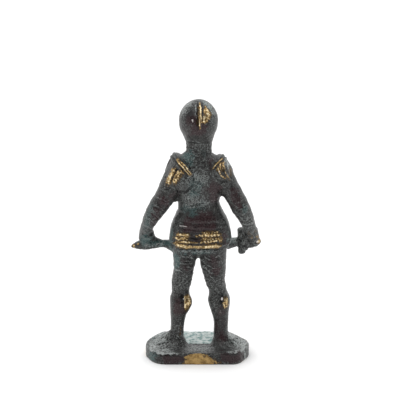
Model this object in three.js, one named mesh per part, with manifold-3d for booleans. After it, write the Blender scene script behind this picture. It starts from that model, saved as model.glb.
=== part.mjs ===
// A pocket-size knight in plate armour, cast in one piece with the sword it holds level across the hips
// and with its low plinth. The figure faces -Y, and its own left hand is on the +X side.
// The origin is the centre of the plinth's underside, +Z is up, and lengths are in millimetres.

import * as THREE from "three";
import { mergeVertices } from "three/addons/utils/BufferGeometryUtils.js";
import Module from "manifold-3d";

const { degToRad, radToDeg, lerp, smoothstep, euclideanModulo } = THREE.MathUtils;

const wasm = await Module();
wasm.setup();

// The figure
const FIGURE_HEIGHT = 38.2; // from the soles to the crown of the helmet
const FIGURE_SHIFT_X = -0.25; // from the plinth's centre to the figure's own middle
const FIGURE_SHIFT_Y = 0.12; // towards the figure's back
const SKIRT_LIP = 0.2; // how far each overlapping plate of the skirt stands proud of the next
const LIMB_LIP = 0.12; // and the plates of the arms, thighs and feet
const COMB_HEIGHT = 0.2; // the helmet's ridge, above the skull
const COMB_WIDTH = 0.5;
const SIGHT_SLIT = 0.26; // height of the slit in the visor
const BREATH_SLIT = 0.22; // width of the slits below it
const HEM_ROLL = 0.24; // how far the rolled hem stands proud of the lowest skirt plate

// The sword
const BLADE_WIDTH_AT_GUARD = 1.4;
const BLADE_WIDTH_AT_TIP = 0.95;
const BLADE_THICKNESS = 0.74;
const TIP_BEYOND_HAND = 2.15;
const TIP_DROOP = 0.35; // the casting's point hangs a little below the line of the blade
const GUARD_LENGTH = 4.1;
const GUARD_THICKNESS = 1.2;
const POMMEL_RADIUS = 0.66;
const POMMEL_BEYOND_HAND = 0.75;

// The plinth
const PLINTH_THICKNESS = 1.8;
const TOE_MARGIN = 0.85; // from the toes to the plinth's end
const HEEL_MARGIN = 2.36; // from the heels to the plinth's long edge
const PLINTH_CHAMFER_LONG = 2.0; // what each cut corner takes off the long edge
const PLINTH_CHAMFER_SHORT = 3.1; // and off the short one
const PLINTH_CORNER_RADIUS = 0.85;
const PLINTH_EDGE = 0.15; // softened top and bottom edges
const GROUND_RISE = 0.28; // how much higher the ground lies under the heels than under the toes

// The pose is written in hundredths of the figure's height: X from its middle, Y, and Z from the soles.
const SHARE = FIGURE_HEIGHT / 100;
const HAND_LEFT = { x: 19.9, y: -6, z: 38.3 };
const HAND_RIGHT = { x: -19.8, y: -6.5, z: 38.8 };
const GUARD_X = -16.3;
const TOE_REACH = 17.4;
const HEEL_REACH = 4.9;
const GROUND_EDGE = 2.2; // where the higher ground starts, along Y

const point = (x, y, z) => new THREE.Vector3(x, y, z).multiplyScalar(SHARE);

// A station of a lofted form: its centre and its half sizes across, to the front and to the back.
// A tilt, in degrees, turns its width from level towards upright.
function station(x, y, z, across, front, back = front, tilt = undefined) {
  return { centre: point(x, y, z), half: point(across, front, back), tilt };
}

// A closed triangle mesh as a solid. Three.js geometries repeat vertices along their edges.
function solid(geometry) {
  const bare = geometry.clone();
  bare.deleteAttribute("normal");
  bare.deleteAttribute("uv");
  const merged = mergeVertices(bare, 1e-5);
  return new wasm.Manifold(
    new wasm.Mesh({
      numProp: 3,
      vertProperties: merged.attributes.position.array,
      triVerts: new Uint32Array(merged.index.array),
    }),
  );
}

// Joins rings of points into one closed skin, from the first pole to the last.
function skin(rings, firstPole, lastPole) {
  const sides = rings[0].length;
  const points = [firstPole, ...rings.flat(), lastPole];
  const index = [];
  const at = (ring, side) => 1 + ring * sides + (side % sides);
  for (let j = 0; j < sides; j++) {
    index.push(0, at(0, j + 1), at(0, j));
    for (let i = 0; i + 1 < rings.length; i++) {
      index.push(at(i, j), at(i, j + 1), at(i + 1, j));
      index.push(at(i, j + 1), at(i + 1, j + 1), at(i + 1, j));
    }
    index.push(points.length - 1, at(rings.length - 1, j), at(rings.length - 1, j + 1));
  }
  return new THREE.BufferGeometry().setFromPoints(points).setIndex(index);
}

// Where the rings of a loft lie, and how far each stands proud. Between lames.from and lames.to, in stations,
// the surface is a row of overlapping plates: each swells towards its lower edge, then steps back in.
function ringPlaces(last, between, lames) {
  const places = [];
  for (let i = 0; i <= last * between; i++) places.push({ s: i / between, proud: 0 });
  if (!lames) return places;
  const pitch = (lames.to - lames.from) / lames.count;
  const underside = 0.16 * pitch;
  const outside = places.filter(({ s }) => s < lames.from || s > lames.to + underside);
  for (let k = 0; k < lames.count; k++) {
    const top = lames.from + k * pitch;
    outside.push({ s: k ? top + underside : top, proud: 0 });
    outside.push({ s: top + pitch, proud: lames.lip });
  }
  if (lames.to + underside < last) outside.push({ s: lames.to + underside, proud: 0 });
  return outside.sort((a, b) => a.s - b.s);
}

// A limb or trunk through its stations. Angles run round a ring from +X over the front, and relief(angle, s)
// raises the surface there. A dome closes an end in half an ellipsoid, or in a more pointed one with a power
// over 1; without a dome the end is flat.
function loft(stations, options) {
  const { sides, between = 2, lames, relief, side } = options;
  const { domeStart = 0, domeEnd = 0, domeRings = 4, domePower = 1 } = options;
  const last = stations.length - 1;
  const path = new THREE.CatmullRomCurve3(stations.map((s) => s.centre));
  const sizes = new THREE.CatmullRomCurve3(stations.map((s) => s.half));

  const sideAt = (s, tangent) => {
    if (side) return side.clone();
    const low = Math.min(Math.floor(s), last - 1);
    if (stations[0].tilt === undefined) return new THREE.Vector3(-tangent.z, 0, tangent.x).normalize();
    const tilt = lerp(stations[low].tilt, stations[low + 1].tilt, s - low);
    const turn = degToRad(tilt);
    return new THREE.Vector3(Math.cos(turn), 0, Math.sin(turn));
  };

  const ringAt = (s, proud, push = 0, shrink = 1) => {
    const tangent = path.getTangent(s / last);
    const across = sideAt(s, tangent);
    const fore = new THREE.Vector3().crossVectors(tangent, across).normalize();
    const centre = path.getPoint(s / last).addScaledVector(tangent, push);
    const half = sizes.getPoint(s / last);
    const ring = [];
    for (let j = 0; j < sides; j++) {
      const angle = (2 * Math.PI * j) / sides;
      const raise = proud + (relief ? relief(angle, s) : 0);
      const depth = Math.sin(angle) > 0 ? half.y : half.z;
      ring.push(
        centre
          .clone()
          .addScaledVector(across, Math.cos(angle) * (half.x + raise) * shrink)
          .addScaledVector(fore, Math.sin(angle) * (depth + raise) * shrink),
      );
    }
    return { ring, centre };
  };

  const domeAt = (s, reach, k) => {
    const phi = (k / domeRings) * (Math.PI / 2);
    return ringAt(s, 0, reach * Math.sin(phi), Math.cos(phi) ** domePower);
  };

  const made = ringPlaces(last, between, lames).map(({ s, proud }) => ringAt(s, proud));
  for (let k = 1; domeStart && k < domeRings; k++) made.unshift(domeAt(0, -domeStart, k));
  for (let k = 1; domeEnd && k < domeRings; k++) made.push(domeAt(last, domeEnd, k));
  const rings = made.map(({ ring }) => ring);
  return solid(skin(rings, ringAt(0, 0, -domeStart).centre, ringAt(last, 0, domeEnd).centre));
}

// An ellipsoid, its centre and half sizes in hundredths of the figure's height, tipped in the XZ plane.
function knob(x, y, z, halfX, halfY, halfZ, tip, around) {
  const geometry = new THREE.SphereGeometry(1, around, Math.ceil(around / 2));
  geometry.scale(halfX * SHARE, halfY * SHARE, halfZ * SHARE);
  geometry.rotateY(degToRad(-tip));
  geometry.translate(...point(x, y, z));
  return solid(geometry);
}

// A block given in millimetres, turned about the vertical, for the slits.
function block(width, depth, height, centre, turn = 0) {
  const geometry = new THREE.BoxGeometry(width, depth, height);
  geometry.rotateZ(turn);
  geometry.translate(centre.x, centre.y, centre.z);
  return solid(geometry);
}

// A soft ridge round a given angle of a ring, width in degrees.
const ridge = (angle, at, width) => {
  const away = euclideanModulo(angle - at + Math.PI, 2 * Math.PI) - Math.PI;
  return Math.exp(-((radToDeg(away) / width) ** 2));
};
const FRONT = Math.PI / 2;
const BACK = -Math.PI / 2;

const join = (solids) => solids.reduce((all, next) => all.add(next));

const SKULL_Z = 91.4;
const SKULL = {
  x: 0.2,
  y: -0.6,
  z: SKULL_Z,
  across: 7.4,
  front: 8,
  back: 7.6,
  rise: 100 - SKULL_Z - COMB_HEIGHT / SHARE,
  power: 1.3,
};

function helmet() {
  const skull = loft(
    [
      station(SKULL.x, SKULL.y, SKULL.z, SKULL.across, SKULL.front, SKULL.back),
      station(0.2, -0.7, 88.4, 7.1, 7.9, 7.2),
      station(0.1, -0.7, 85.2, 5.9, 6.7, 5.8),
      station(0, -0.6, 82.2, 4.9, 5.3, 4.8),
      station(0, -0.4, 79.6, 4.75, 4.8, 4.7),
      station(0, -0.2, 77.4, 6.2, 5, 5.4),
    ],
    { sides: 20, between: 1, domeStart: SKULL.rise * SHARE, domeRings: 6, domePower: SKULL.power },
  );
  const visor = loft(
    [
      station(0.2, -1.9, 94.4, 6.4, 6.9, 5),
      station(0.2, -2, 92.6, 7.15, 7.7, 5),
      station(0.1, -2.1, 89.4, 7.05, 8.8, 5),
      station(0.1, -1.9, 86, 5.9, 7.5, 4),
      station(0, -1.6, 83.2, 4.8, 5.2, 4),
    ],
    { sides: 20, between: 1, relief: (angle) => SHARE * ridge(angle, FRONT, 20) },
  );
  return join([skull, visor, comb()]).subtract(visorSlits());
}

// The ridge over the skull, from the brow to below the back's widest part.
function comb() {
  const stations = [];
  const steps = 9;
  for (let i = 0; i <= steps; i++) {
    const turn = degToRad(40 + (150 * i) / steps);
    const reach = Math.cos(turn) > 0 ? -SKULL.front : SKULL.back;
    const y = SKULL.y + reach * Math.abs(Math.cos(turn)) ** SKULL.power;
    const place = point(SKULL.x, y, SKULL.z + SKULL.rise * Math.sin(turn));
    stations.push({ centre: place, half: new THREE.Vector3(COMB_WIDTH / 2, COMB_HEIGHT, COMB_HEIGHT) });
  }
  const ends = { domeStart: COMB_HEIGHT, domeEnd: COMB_HEIGHT, domeRings: 1 };
  return loft(stations, { sides: 4, between: 1, side: new THREE.Vector3(1, 0, 0), ...ends });
}

function visorSlits() {
  const cuts = [block(9.6 * SHARE, 3 * SHARE, SIGHT_SLIT, point(0.1, -9.9, 92.4))];
  for (const hand of [-1, 1]) {
    for (const step of [0, 1]) {
      const place = point(hand * (2.2 + 1.6 * step), -10.1 + 0.9 * step, 87.6);
      cuts.push(block(BREATH_SLIT, 3.4 * SHARE, 2.8 * SHARE, place, hand * (0.25 + 0.25 * step)));
    }
  }
  return join(cuts);
}

function trunk() {
  const keel = (angle, s) => 0.6 * SHARE * ridge(angle, FRONT, 16) * Math.min(1, s / 2);
  const spine = (angle, s) => -0.45 * SHARE * ridge(angle, BACK, 13) * Math.min(1, s / 2);
  return loft(
    [
      station(0, 0, 79.4, 4.5, 4.3, 4.5),
      station(0, 0, 77.6, 6.7, 4.9, 5.6),
      station(0, 0, 75, 9, 5.9, 6.6),
      station(0, 0, 70.5, 9.9, 7.5, 7.3),
      station(0, -0.1, 65.5, 9.5, 8, 7.2),
      station(0, -0.1, 61, 8.5, 7.3, 6.5),
      station(0.4, 0, 58, 8.2, 6.3, 5.9),
      station(0, 0, 54, 8.2, 6, 5.8),
    ],
    { sides: 24, between: 1, relief: (angle, s) => keel(angle, s) + spine(angle, s) },
  );
}

// The skirt: plates that overlap downwards, and a rolled hem.
function skirt() {
  return loft(
    [
      station(0.1, 0, 58, 7.5, 5.8, 5.5),
      station(-0.1, 0, 55.2, 8.2, 6.2, 6),
      station(-0.2, 0, 52.4, 9.3, 6.8, 6.6),
      station(-0.3, 0, 49.6, 10.3, 7.4, 7.2),
      station(-0.4, 0, 46.8, 11, 7.8, 7.7),
      station(-0.5, 0, 44, 11.3, 8, 8),
      station(-0.5, 0, 43.2, 11.3 + HEM_ROLL / SHARE, 8 + HEM_ROLL / SHARE),
      station(-0.5, 0, 42.5, 11.2 + HEM_ROLL / SHARE, 7.9 + HEM_ROLL / SHARE),
      station(-0.5, 0, 41.9, 10.4, 7.2),
    ],
    { sides: 28, between: 1, lames: { from: 0.8, to: 4.8, count: 4, lip: SKIRT_LIP } },
  );
}

// Each pauldron is a cap over the shoulder, its rings tilted from the top of the shoulder towards the shoulder
// blade, with flutes that run down the arm and a low round wing on the shoulder blade.
function pauldron(hand, stations, wing) {
  const outer = hand > 0 ? 0 : Math.PI;
  const flutes = (angle, s) => {
    const fade = smoothstep(s, 0, 0.6) * (1 - smoothstep(s, 2, 3));
    const turns = [-38, -70, 40].map((turn) => outer + hand * degToRad(turn));
    return 0.6 * SHARE * fade * turns.reduce((sum, turn) => sum + ridge(angle, turn, 10), 0);
  };
  const ends = { domeStart: 0.9 * SHARE, domeEnd: 1.5 * SHARE, domeRings: 2 };
  return loft(stations, { sides: 22, between: 1, relief: flutes, ...ends }).add(wing);
}

// The double roll along a pauldron's upper edge, from the chest over the shoulder's corner to the back.
function rolls(hand, stops) {
  const second = new THREE.Vector3(hand * 1.05, 0, -1).multiplyScalar(SHARE);
  const tube = (shift, radius) => {
    const half = new THREE.Vector3(radius, radius, radius).multiplyScalar(SHARE);
    const stations = stops.map((stop) => ({ centre: stop.clone().add(shift), half }));
    const ends = { domeStart: 0.6 * SHARE, domeEnd: 0.6 * SHARE, domeRings: 1 };
    return loft(stations, { sides: 6, between: 1, side: new THREE.Vector3(hand, 0, -1).normalize(), ...ends });
  };
  return tube(new THREE.Vector3(), 0.8).add(tube(second, 0.65));
}

function pauldrons() {
  const left = pauldron(
    1,
    [
      station(5.6, 0.4, 74.3, 4.9, 5.8, 6.5, 46),
      station(7.1, 0.5, 71.5, 4.7, 5.9, 6.6, 40),
      station(8.4, 0.6, 68.8, 4.2, 5.4, 6.1, 31),
      station(9.5, 0.7, 66.2, 3.8, 4.7, 5.2, 25),
    ],
    knob(5.6, 4.4, 69.6, 5.1, 3.4, 5.3, 0, 12),
  );
  const right = pauldron(
    -1,
    [
      station(-5.9, 0.4, 74.4, 4.1, 5.4, 6, -46),
      station(-7.4, 0.5, 71.8, 4.1, 5.6, 6.1, -40),
      station(-8.7, 0.6, 69.2, 3.9, 5.3, 5.8, -31),
      station(-9.8, 0.7, 66.4, 3.7, 4.7, 5, -25),
    ],
    knob(-7.2, 4, 71.8, 4.4, 3.4, 4.6, 0, 12),
  );
  const leftRolls = rolls(1, [
    point(4.2, -6.8, 71.6),
    point(6.8, -5.3, 73.6),
    point(8.7, -2.4, 76),
    point(9.3, 0.8, 77.8),
    point(7.8, 4.4, 76.6),
    point(5.4, 6.6, 74.7),
    point(2.9, 7.3, 72.4),
  ]);
  const rightRolls = rolls(-1, [
    point(-4.2, -6.8, 71.6),
    point(-6.7, -5.2, 73.4),
    point(-8.4, -2.4, 75.4),
    point(-8.9, 0.8, 77.1),
    point(-7.7, 4.1, 76),
    point(-5.8, 6, 74.4),
  ]);
  return join([left, right, leftRolls, rightRolls]);
}

function arms() {
  const left = [
    station(7.4, 0.4, 75, 2.8, 3.4),
    station(8.5, 0.6, 71.5, 3.7, 4.1),
    station(10.2, 1, 66.3, 3.8, 4.1),
    station(12.6, 1.4, 61, 4.1, 4.2),
    station(15.7, 1.5, 56.4, 3.5, 3.9),
    station(17.8, 0.2, 51.9, 2.9, 3.5),
    station(19.2, -2, 47.4, 2.25, 2.8),
    station(19.9, -4.2, 43.6, 2.3, 2.4),
    station(19.9, -6, 40.2, 2.5, 2.4),
  ];
  const right = [
    station(-7.2, 0.4, 75, 2.9, 3.4),
    station(-8.6, 0.6, 71.5, 3.7, 4.1),
    station(-10.4, 1, 66.3, 3.7, 4.1),
    station(-13.1, 1.4, 61, 3.5, 4.2),
    station(-15.6, 1.5, 56.4, 3.2, 3.8),
    station(-17.6, 0.2, 51.9, 2.75, 3.4),
    station(-19, -2, 47.4, 2.45, 2.8),
    station(-20, -4.2, 43.6, 2.5, 2.6),
    station(-20.2, -6, 40.2, 2.6, 2.4),
  ];
  const lames = { from: 1.9, to: 6.4, count: 6, lip: LIMB_LIP };
  const limb = (stations) => loft(stations, { sides: 12, between: 1, lames });
  const couter = (hand) => knob(hand * 15.6, 2.5, 56.6, 3.4, 3.2, 2.9, hand * 25, 12);
  return join([limb(left), limb(right), couter(1), couter(-1)]);
}

// A gauntlet closed round the sword: a cuff, the back of the hand, and four fingers one above the other.
function gauntlet(hand, at, size) {
  const cuff = loft(
    [
      station(at.x - hand * 0.3, at.y + 2.6, at.z + 5.6, 2.7 * size, 2.7 * size),
      station(at.x, at.y + 1.2, at.z + 3.2, 2.3 * size, 2.3 * size),
      station(at.x, at.y + 0.6, at.z + 2, 2.4 * size, 2.3 * size),
    ],
    { sides: 10, between: 1 },
  );
  const fist = knob(at.x, at.y, at.z, 3 * size, 2.5 * size, 3.1 * size, 0, 12);
  const fingers = [-1.5, -0.5, 0.5, 1.5].map((step) =>
    knob(at.x + step * 1.35 * size, at.y - 1.1 * size, at.z - 0.1, 0.78 * size, 2.1 * size, 2.5 * size, 0, 8),
  );
  return join([cuff, fist, ...fingers]);
}

// The sword lies level. Its blade runs from the guard through the left hand to the tip.
function sword() {
  const right = point(HAND_RIGHT.x, HAND_RIGHT.y, HAND_RIGHT.z);
  const left = point(HAND_LEFT.x, HAND_LEFT.y, HAND_LEFT.z);
  const along = left.clone().sub(right).normalize();
  const spot = (from, distance) => from.clone().addScaledVector(along, distance);
  const size = (width, thickness) => new THREE.Vector3(width / 2, thickness / 2, thickness / 2);
  const guardCentre = right.clone().lerp(left, (GUARD_X - HAND_RIGHT.x) / (HAND_LEFT.x - HAND_RIGHT.x));
  const drooped = (distance) => spot(left, distance).sub(new THREE.Vector3(0, 0, TIP_DROOP));
  const shoulder = 2.4; // how far from the tip the blade starts to narrow
  const blade = loft(
    [
      { centre: guardCentre, half: size(BLADE_WIDTH_AT_GUARD, BLADE_THICKNESS) },
      { centre: spot(guardCentre, 2), half: size(BLADE_WIDTH_AT_GUARD, BLADE_THICKNESS) },
      { centre: spot(left, TIP_BEYOND_HAND - shoulder), half: size(BLADE_WIDTH_AT_TIP, BLADE_THICKNESS) },
      { centre: drooped(TIP_BEYOND_HAND - shoulder / 4), half: size(BLADE_WIDTH_AT_TIP * 0.8, BLADE_THICKNESS * 0.9) },
    ],
    { sides: 8, between: 2, domeEnd: shoulder / 4 },
  );
  const grip = loft(
    [
      { centre: spot(right, -POMMEL_BEYOND_HAND), half: size(0.9, 0.9) },
      { centre: guardCentre, half: size(0.9, 0.9) },
    ],
    { sides: 8, between: 1 },
  );
  const pommelGeometry = new THREE.SphereGeometry(POMMEL_RADIUS, 10, 6);
  pommelGeometry.translate(...spot(right, -POMMEL_BEYOND_HAND));
  return join([blade, grip, solid(pommelGeometry), crossGuard(guardCentre)]);
}

// The guard swells at both ends and at its middle.
function crossGuard(centre) {
  const swell = [0.62, 0.5, 0.42, 0.55, 0.42, 0.5, 0.62];
  const stations = swell.map((share, i) => {
    const height = (0.5 - i / (swell.length - 1)) * (GUARD_LENGTH - GUARD_THICKNESS * 0.8);
    return {
      centre: centre.clone().add(new THREE.Vector3(height * 0.06, 0, height)),
      half: new THREE.Vector3(GUARD_THICKNESS * share, GUARD_THICKNESS * share, GUARD_THICKNESS * share),
    };
  });
  const reach = GUARD_THICKNESS * 0.4;
  return loft(stations, { sides: 8, between: 1, domeStart: reach, domeEnd: reach, domeRings: 2 });
}

function legs() {
  const left = [
    station(4.9, 0.2, 46, 5, 5.3),
    station(5.2, 0.2, 38, 4.8, 5.2),
    station(5.5, 0.1, 34, 4.25, 4.8, 4.9),
    station(5.9, 0, 29.8, 3.75, 4.3, 4.4),
    station(6.6, 0, 25.7, 3.7, 4.1, 4),
    station(7, -0.3, 21.8, 3.35, 4.1, 3.5),
    station(7.1, -0.1, 17.6, 3.6, 3.7, 4),
    station(7.65, 0.3, 13.4, 3, 3.2, 3.6),
    station(8, 0.6, 9.4, 2.4, 2.7, 2.9),
    station(8.2, 0.9, 5, 2.2, 2.5, 2.6),
    station(8.2, 1, 0.6, 2.7, 2.8, 3),
  ];
  const right = [
    station(-5.3, 0.2, 46, 5.4, 5.3),
    station(-5.4, 0.2, 38, 5.1, 5.2),
    station(-5.4, 0.1, 34, 4.8, 4.9, 5),
    station(-5.65, 0, 29.8, 4.3, 4.4, 4.5),
    station(-6.1, 0, 25.7, 3.6, 4.1, 4),
    station(-7, -0.3, 21.8, 3.3, 4.1, 3.5),
    station(-7.5, -0.1, 17.6, 3.9, 3.8, 4),
    station(-8.1, 0.3, 13.4, 3.15, 3.2, 3.6),
    station(-8.35, 0.6, 9.4, 2.6, 2.7, 2.9),
    station(-8.3, 0.9, 5, 2.55, 2.5, 2.6),
    station(-8.3, 1, 0.6, 3, 2.8, 3),
  ];
  const shin = (angle, s) => 0.5 * SHARE * ridge(angle, FRONT, 18) * Math.max(0, Math.min(1, s - 5));
  const lames = { from: 1.2, to: 4.5, count: 5, lip: LIMB_LIP };
  const limb = (stations) => loft(stations, { sides: 12, between: 1, lames, relief: shin });
  const fork = knob(-0.1, 0, 40.6, 5.4, 4.6, 5.4, 0, 12);
  return join([limb(left), limb(right), fork, ...knees()]);
}

// Kneecaps in front, and the swell of the plates behind each knee.
function knees() {
  const cap = (x) => knob(x, -2.5, 22, 3.3, 2.9, 3.2, 0, 10);
  const calfLeft = knob(5.1, 2.1, 17.2, 2.5, 2.4, 3.6, -6, 10);
  const calfRight = knob(-9.5, 1.9, 17.6, 2.1, 2.3, 3.2, -6, 10);
  return [cap(7), cap(-7), calfLeft, calfRight];
}

// Sabatons point outwards, their plates overlapping towards the toe. Half of each lies in the plinth.
function foot(hand, instep) {
  const stations = [
    station(hand * 6.4, 2, 1, 2.6, 2.3),
    station(hand * 8.6, 1.6, 1.8, 4.6 * instep, 2.7),
    station(hand * 11, 1.2, 1.4, 4.4 * instep, 2.7),
    station(hand * 12.9, 0.8, 0.9, 2.8 * instep, 2.5),
    station(hand * 15.2, 0.3, 0.3, 1.5, 1.9),
  ];
  const reach = (TOE_REACH - 15.2) * SHARE;
  return loft(stations, {
    sides: 10,
    between: 1,
    domeStart: 1.2 * SHARE,
    domeEnd: reach,
    domeRings: 2,
    lames: { from: 1.4, to: 3.8, count: 4, lip: LIMB_LIP },
  });
}

// The plinth's outline: an oblong with its four corners cut off and every bend rounded.
function plinthOutline(halfLength, halfDepth) {
  const corners = [];
  for (const [x, y, longFirst] of [
    [1, 1, false],
    [-1, 1, true],
    [-1, -1, false],
    [1, -1, true],
  ]) {
    const onLong = new THREE.Vector2(x * (halfLength - PLINTH_CHAMFER_LONG), y * halfDepth);
    const onShort = new THREE.Vector2(x * halfLength, y * (halfDepth - PLINTH_CHAMFER_SHORT));
    corners.push(...(longFirst ? [onLong, onShort] : [onShort, onLong]));
  }
  // A bend takes less than half of each straight that meets it.
  const towards = (corner, other) => {
    const reach = Math.min(PLINTH_CORNER_RADIUS, 0.45 * corner.distanceTo(other));
    return corner.clone().add(other.clone().sub(corner).setLength(reach));
  };
  const outline = new THREE.Shape();
  corners.forEach((corner, i) => {
    const before = corners[(i + corners.length - 1) % corners.length];
    const after = corners[(i + 1) % corners.length];
    const start = towards(corner, before);
    const end = towards(corner, after);
    if (i === 0) outline.moveTo(start.x, start.y);
    else outline.lineTo(start.x, start.y);
    outline.quadraticCurveTo(corner.x, corner.y, end.x, end.y);
  });
  return outline;
}

// A slab of the plinth's outline, from the underside up, with softened edges.
function slab(thickness) {
  const halfLength = TOE_REACH * SHARE + TOE_MARGIN;
  const halfDepth = FIGURE_SHIFT_Y + HEEL_REACH * SHARE + HEEL_MARGIN;
  const geometry = new THREE.ExtrudeGeometry(plinthOutline(halfLength, halfDepth), {
    depth: thickness - 2 * PLINTH_EDGE,
    bevelThickness: PLINTH_EDGE,
    bevelSize: PLINTH_EDGE,
    bevelOffset: -PLINTH_EDGE,
    bevelSegments: 1,
    curveSegments: 3,
  });
  geometry.translate(0, 0, PLINTH_EDGE);
  return solid(geometry);
}

// The ground under the heels is a little higher than the rest of the plinth's top.
function plinth() {
  const width = 100 * SHARE;
  const edge = point(0, GROUND_EDGE, 0);
  const heels = block(width, width, width, edge.clone().add(new THREE.Vector3(0, width / 2, 0)));
  return slab(PLINTH_THICKNESS - GROUND_RISE).add(slab(PLINTH_THICKNESS).intersect(heels));
}

const figure = join([helmet(), trunk(), skirt(), pauldrons(), arms(), legs(), foot(1, 1), foot(-1, 0.85), sword()])
  .add(gauntlet(1, HAND_LEFT, 0.95))
  .add(gauntlet(-1, HAND_RIGHT, 1.12));
const casting = plinth().add(figure.translate([FIGURE_SHIFT_X, FIGURE_SHIFT_Y, PLINTH_THICKNESS]));

const { vertProperties, triVerts } = casting.getMesh();
const geometry = new THREE.BufferGeometry()
  .setAttribute("position", new THREE.BufferAttribute(vertProperties, 3))
  .setIndex(new THREE.BufferAttribute(triVerts, 1));

const patinatedBrass = new THREE.MeshStandardMaterial({ color: 0x3f4644, roughness: 0.48, metalness: 0.85 });

const statue = new THREE.Mesh(geometry, patinatedBrass);
statue.name = "knight_statue";

const group = new THREE.Group();
group.add(statue);

export default group;
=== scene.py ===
# %% [markdown]
# # A pocket-size knight, cast in brass
#
# The real thing is 40 mm tall: a knight in plate armour, the sword held level across the hips and a low
# eight-sided plinth, all poured as one piece. Years in a pocket have left a dark green-black patina, rubbed
# through to the brass wherever a finger reaches a high spot.
#
# The CAD model already has the outline and the main forms, but as flat facets. One way to dress it would be
# to smooth those facets until they vanish, which would also melt the sword and the fingers. Here every form
# is drawn again, much finer, and corrected where a closer look at the photograph asks for it. The forms are
# fused into one skin, and that skin is carved and aged.

import math

import bpy
import numpy as np
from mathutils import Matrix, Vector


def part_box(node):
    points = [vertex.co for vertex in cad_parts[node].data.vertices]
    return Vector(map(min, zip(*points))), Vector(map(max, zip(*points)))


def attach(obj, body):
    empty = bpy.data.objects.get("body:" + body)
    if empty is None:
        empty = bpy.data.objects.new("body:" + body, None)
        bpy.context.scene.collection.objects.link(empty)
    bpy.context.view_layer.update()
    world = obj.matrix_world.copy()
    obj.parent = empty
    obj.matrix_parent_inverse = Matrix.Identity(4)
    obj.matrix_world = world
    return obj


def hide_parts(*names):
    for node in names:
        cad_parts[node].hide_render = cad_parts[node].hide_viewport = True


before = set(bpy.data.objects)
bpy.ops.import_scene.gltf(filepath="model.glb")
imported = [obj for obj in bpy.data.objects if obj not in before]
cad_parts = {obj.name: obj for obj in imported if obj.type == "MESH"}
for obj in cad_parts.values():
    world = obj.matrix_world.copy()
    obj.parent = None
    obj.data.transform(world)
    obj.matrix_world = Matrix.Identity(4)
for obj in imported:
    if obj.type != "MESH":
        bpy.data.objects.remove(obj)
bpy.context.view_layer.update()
low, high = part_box("knight_statue")

MM = 0.001
PLINTH_THICKNESS = 1.8  # in millimetres, as every length until the mesh is finished
FIGURE_HEIGHT = (high.z - low.z) / MM - PLINTH_THICKNESS
SHARE = FIGURE_HEIGHT / 100
FIGURE_PLACE = np.array([-0.25, 0.12, PLINTH_THICKNESS])
print(f"overall {(high.z - low.z) / MM:.1f} mm, figure {FIGURE_HEIGHT:.1f} mm, one share {SHARE:.3f} mm")

# %% [markdown]
# ## Drawing a body through stations
#
# A modeller in wax would build this knight on a wire: a lump for the thigh, one for the knee, one for the
# calf. The same idea in code is a loft. Each station is a place on the wire with the half sizes of the lump
# there: x, y, z, across, front, back, in shares, which are hundredths of the figure's height. A smooth
# curve runs through all stations, and a ring of points goes round it about every tenth of a millimetre.
#
# Relief is added while the rings are laid, as a height that depends on the angle round the ring and on how
# far along the wire it is. That keeps plates and ridges square to the limb they lie on, however it bends.

# %% A smooth curve and a closed skin
GRID = 0.11
FRONT, BACK = math.pi / 2, -math.pi / 2
forms = []


def through(rows, s):
    """Rows of numbers read at s, counted in stations, on the smooth curve through every station."""
    rows = np.vstack([2 * rows[0] - rows[1], rows, 2 * rows[-1] - rows[-2]])
    station = np.clip(np.floor(s).astype(int), 0, len(rows) - 4)
    t = (s - station)[:, None]
    a, b, c, d = (rows[station + k] for k in range(4))
    return b + 0.5 * t * (c - a + t * (2 * a - 5 * b + 4 * c - d + t * (3 * (b - c) + d - a)))


def add_skin(rings, first, last):
    """Closes rings of points into one skin, from the first pole to the last, and keeps it as a form."""
    rows, around = rings.shape[:2]
    ring = 1 + np.arange(rows * around).reshape(rows, around)
    beside = np.roll(ring, -1, axis=1)
    here, right, above, across = ring[:-1], beside[:-1], ring[1:], beside[1:]
    pole = rows * around + 1
    faces = [
        np.stack([here, right, above], axis=-1).reshape(-1, 3),
        np.stack([right, across, above], axis=-1).reshape(-1, 3),
        np.stack([np.zeros_like(ring[0]), beside[0], ring[0]], axis=-1),
        np.stack([np.full_like(ring[0], pole), ring[-1], beside[-1]], axis=-1),
    ]
    forms.append((np.vstack([first, rings.reshape(-1, 3), last]), np.vstack(faces)))


# %% A loft and an ellipsoid
def unit(vectors):
    return vectors / np.linalg.norm(vectors, axis=-1, keepdims=True)


def signed_power(values, power):
    return np.sign(values) * np.abs(values) ** power


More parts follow.
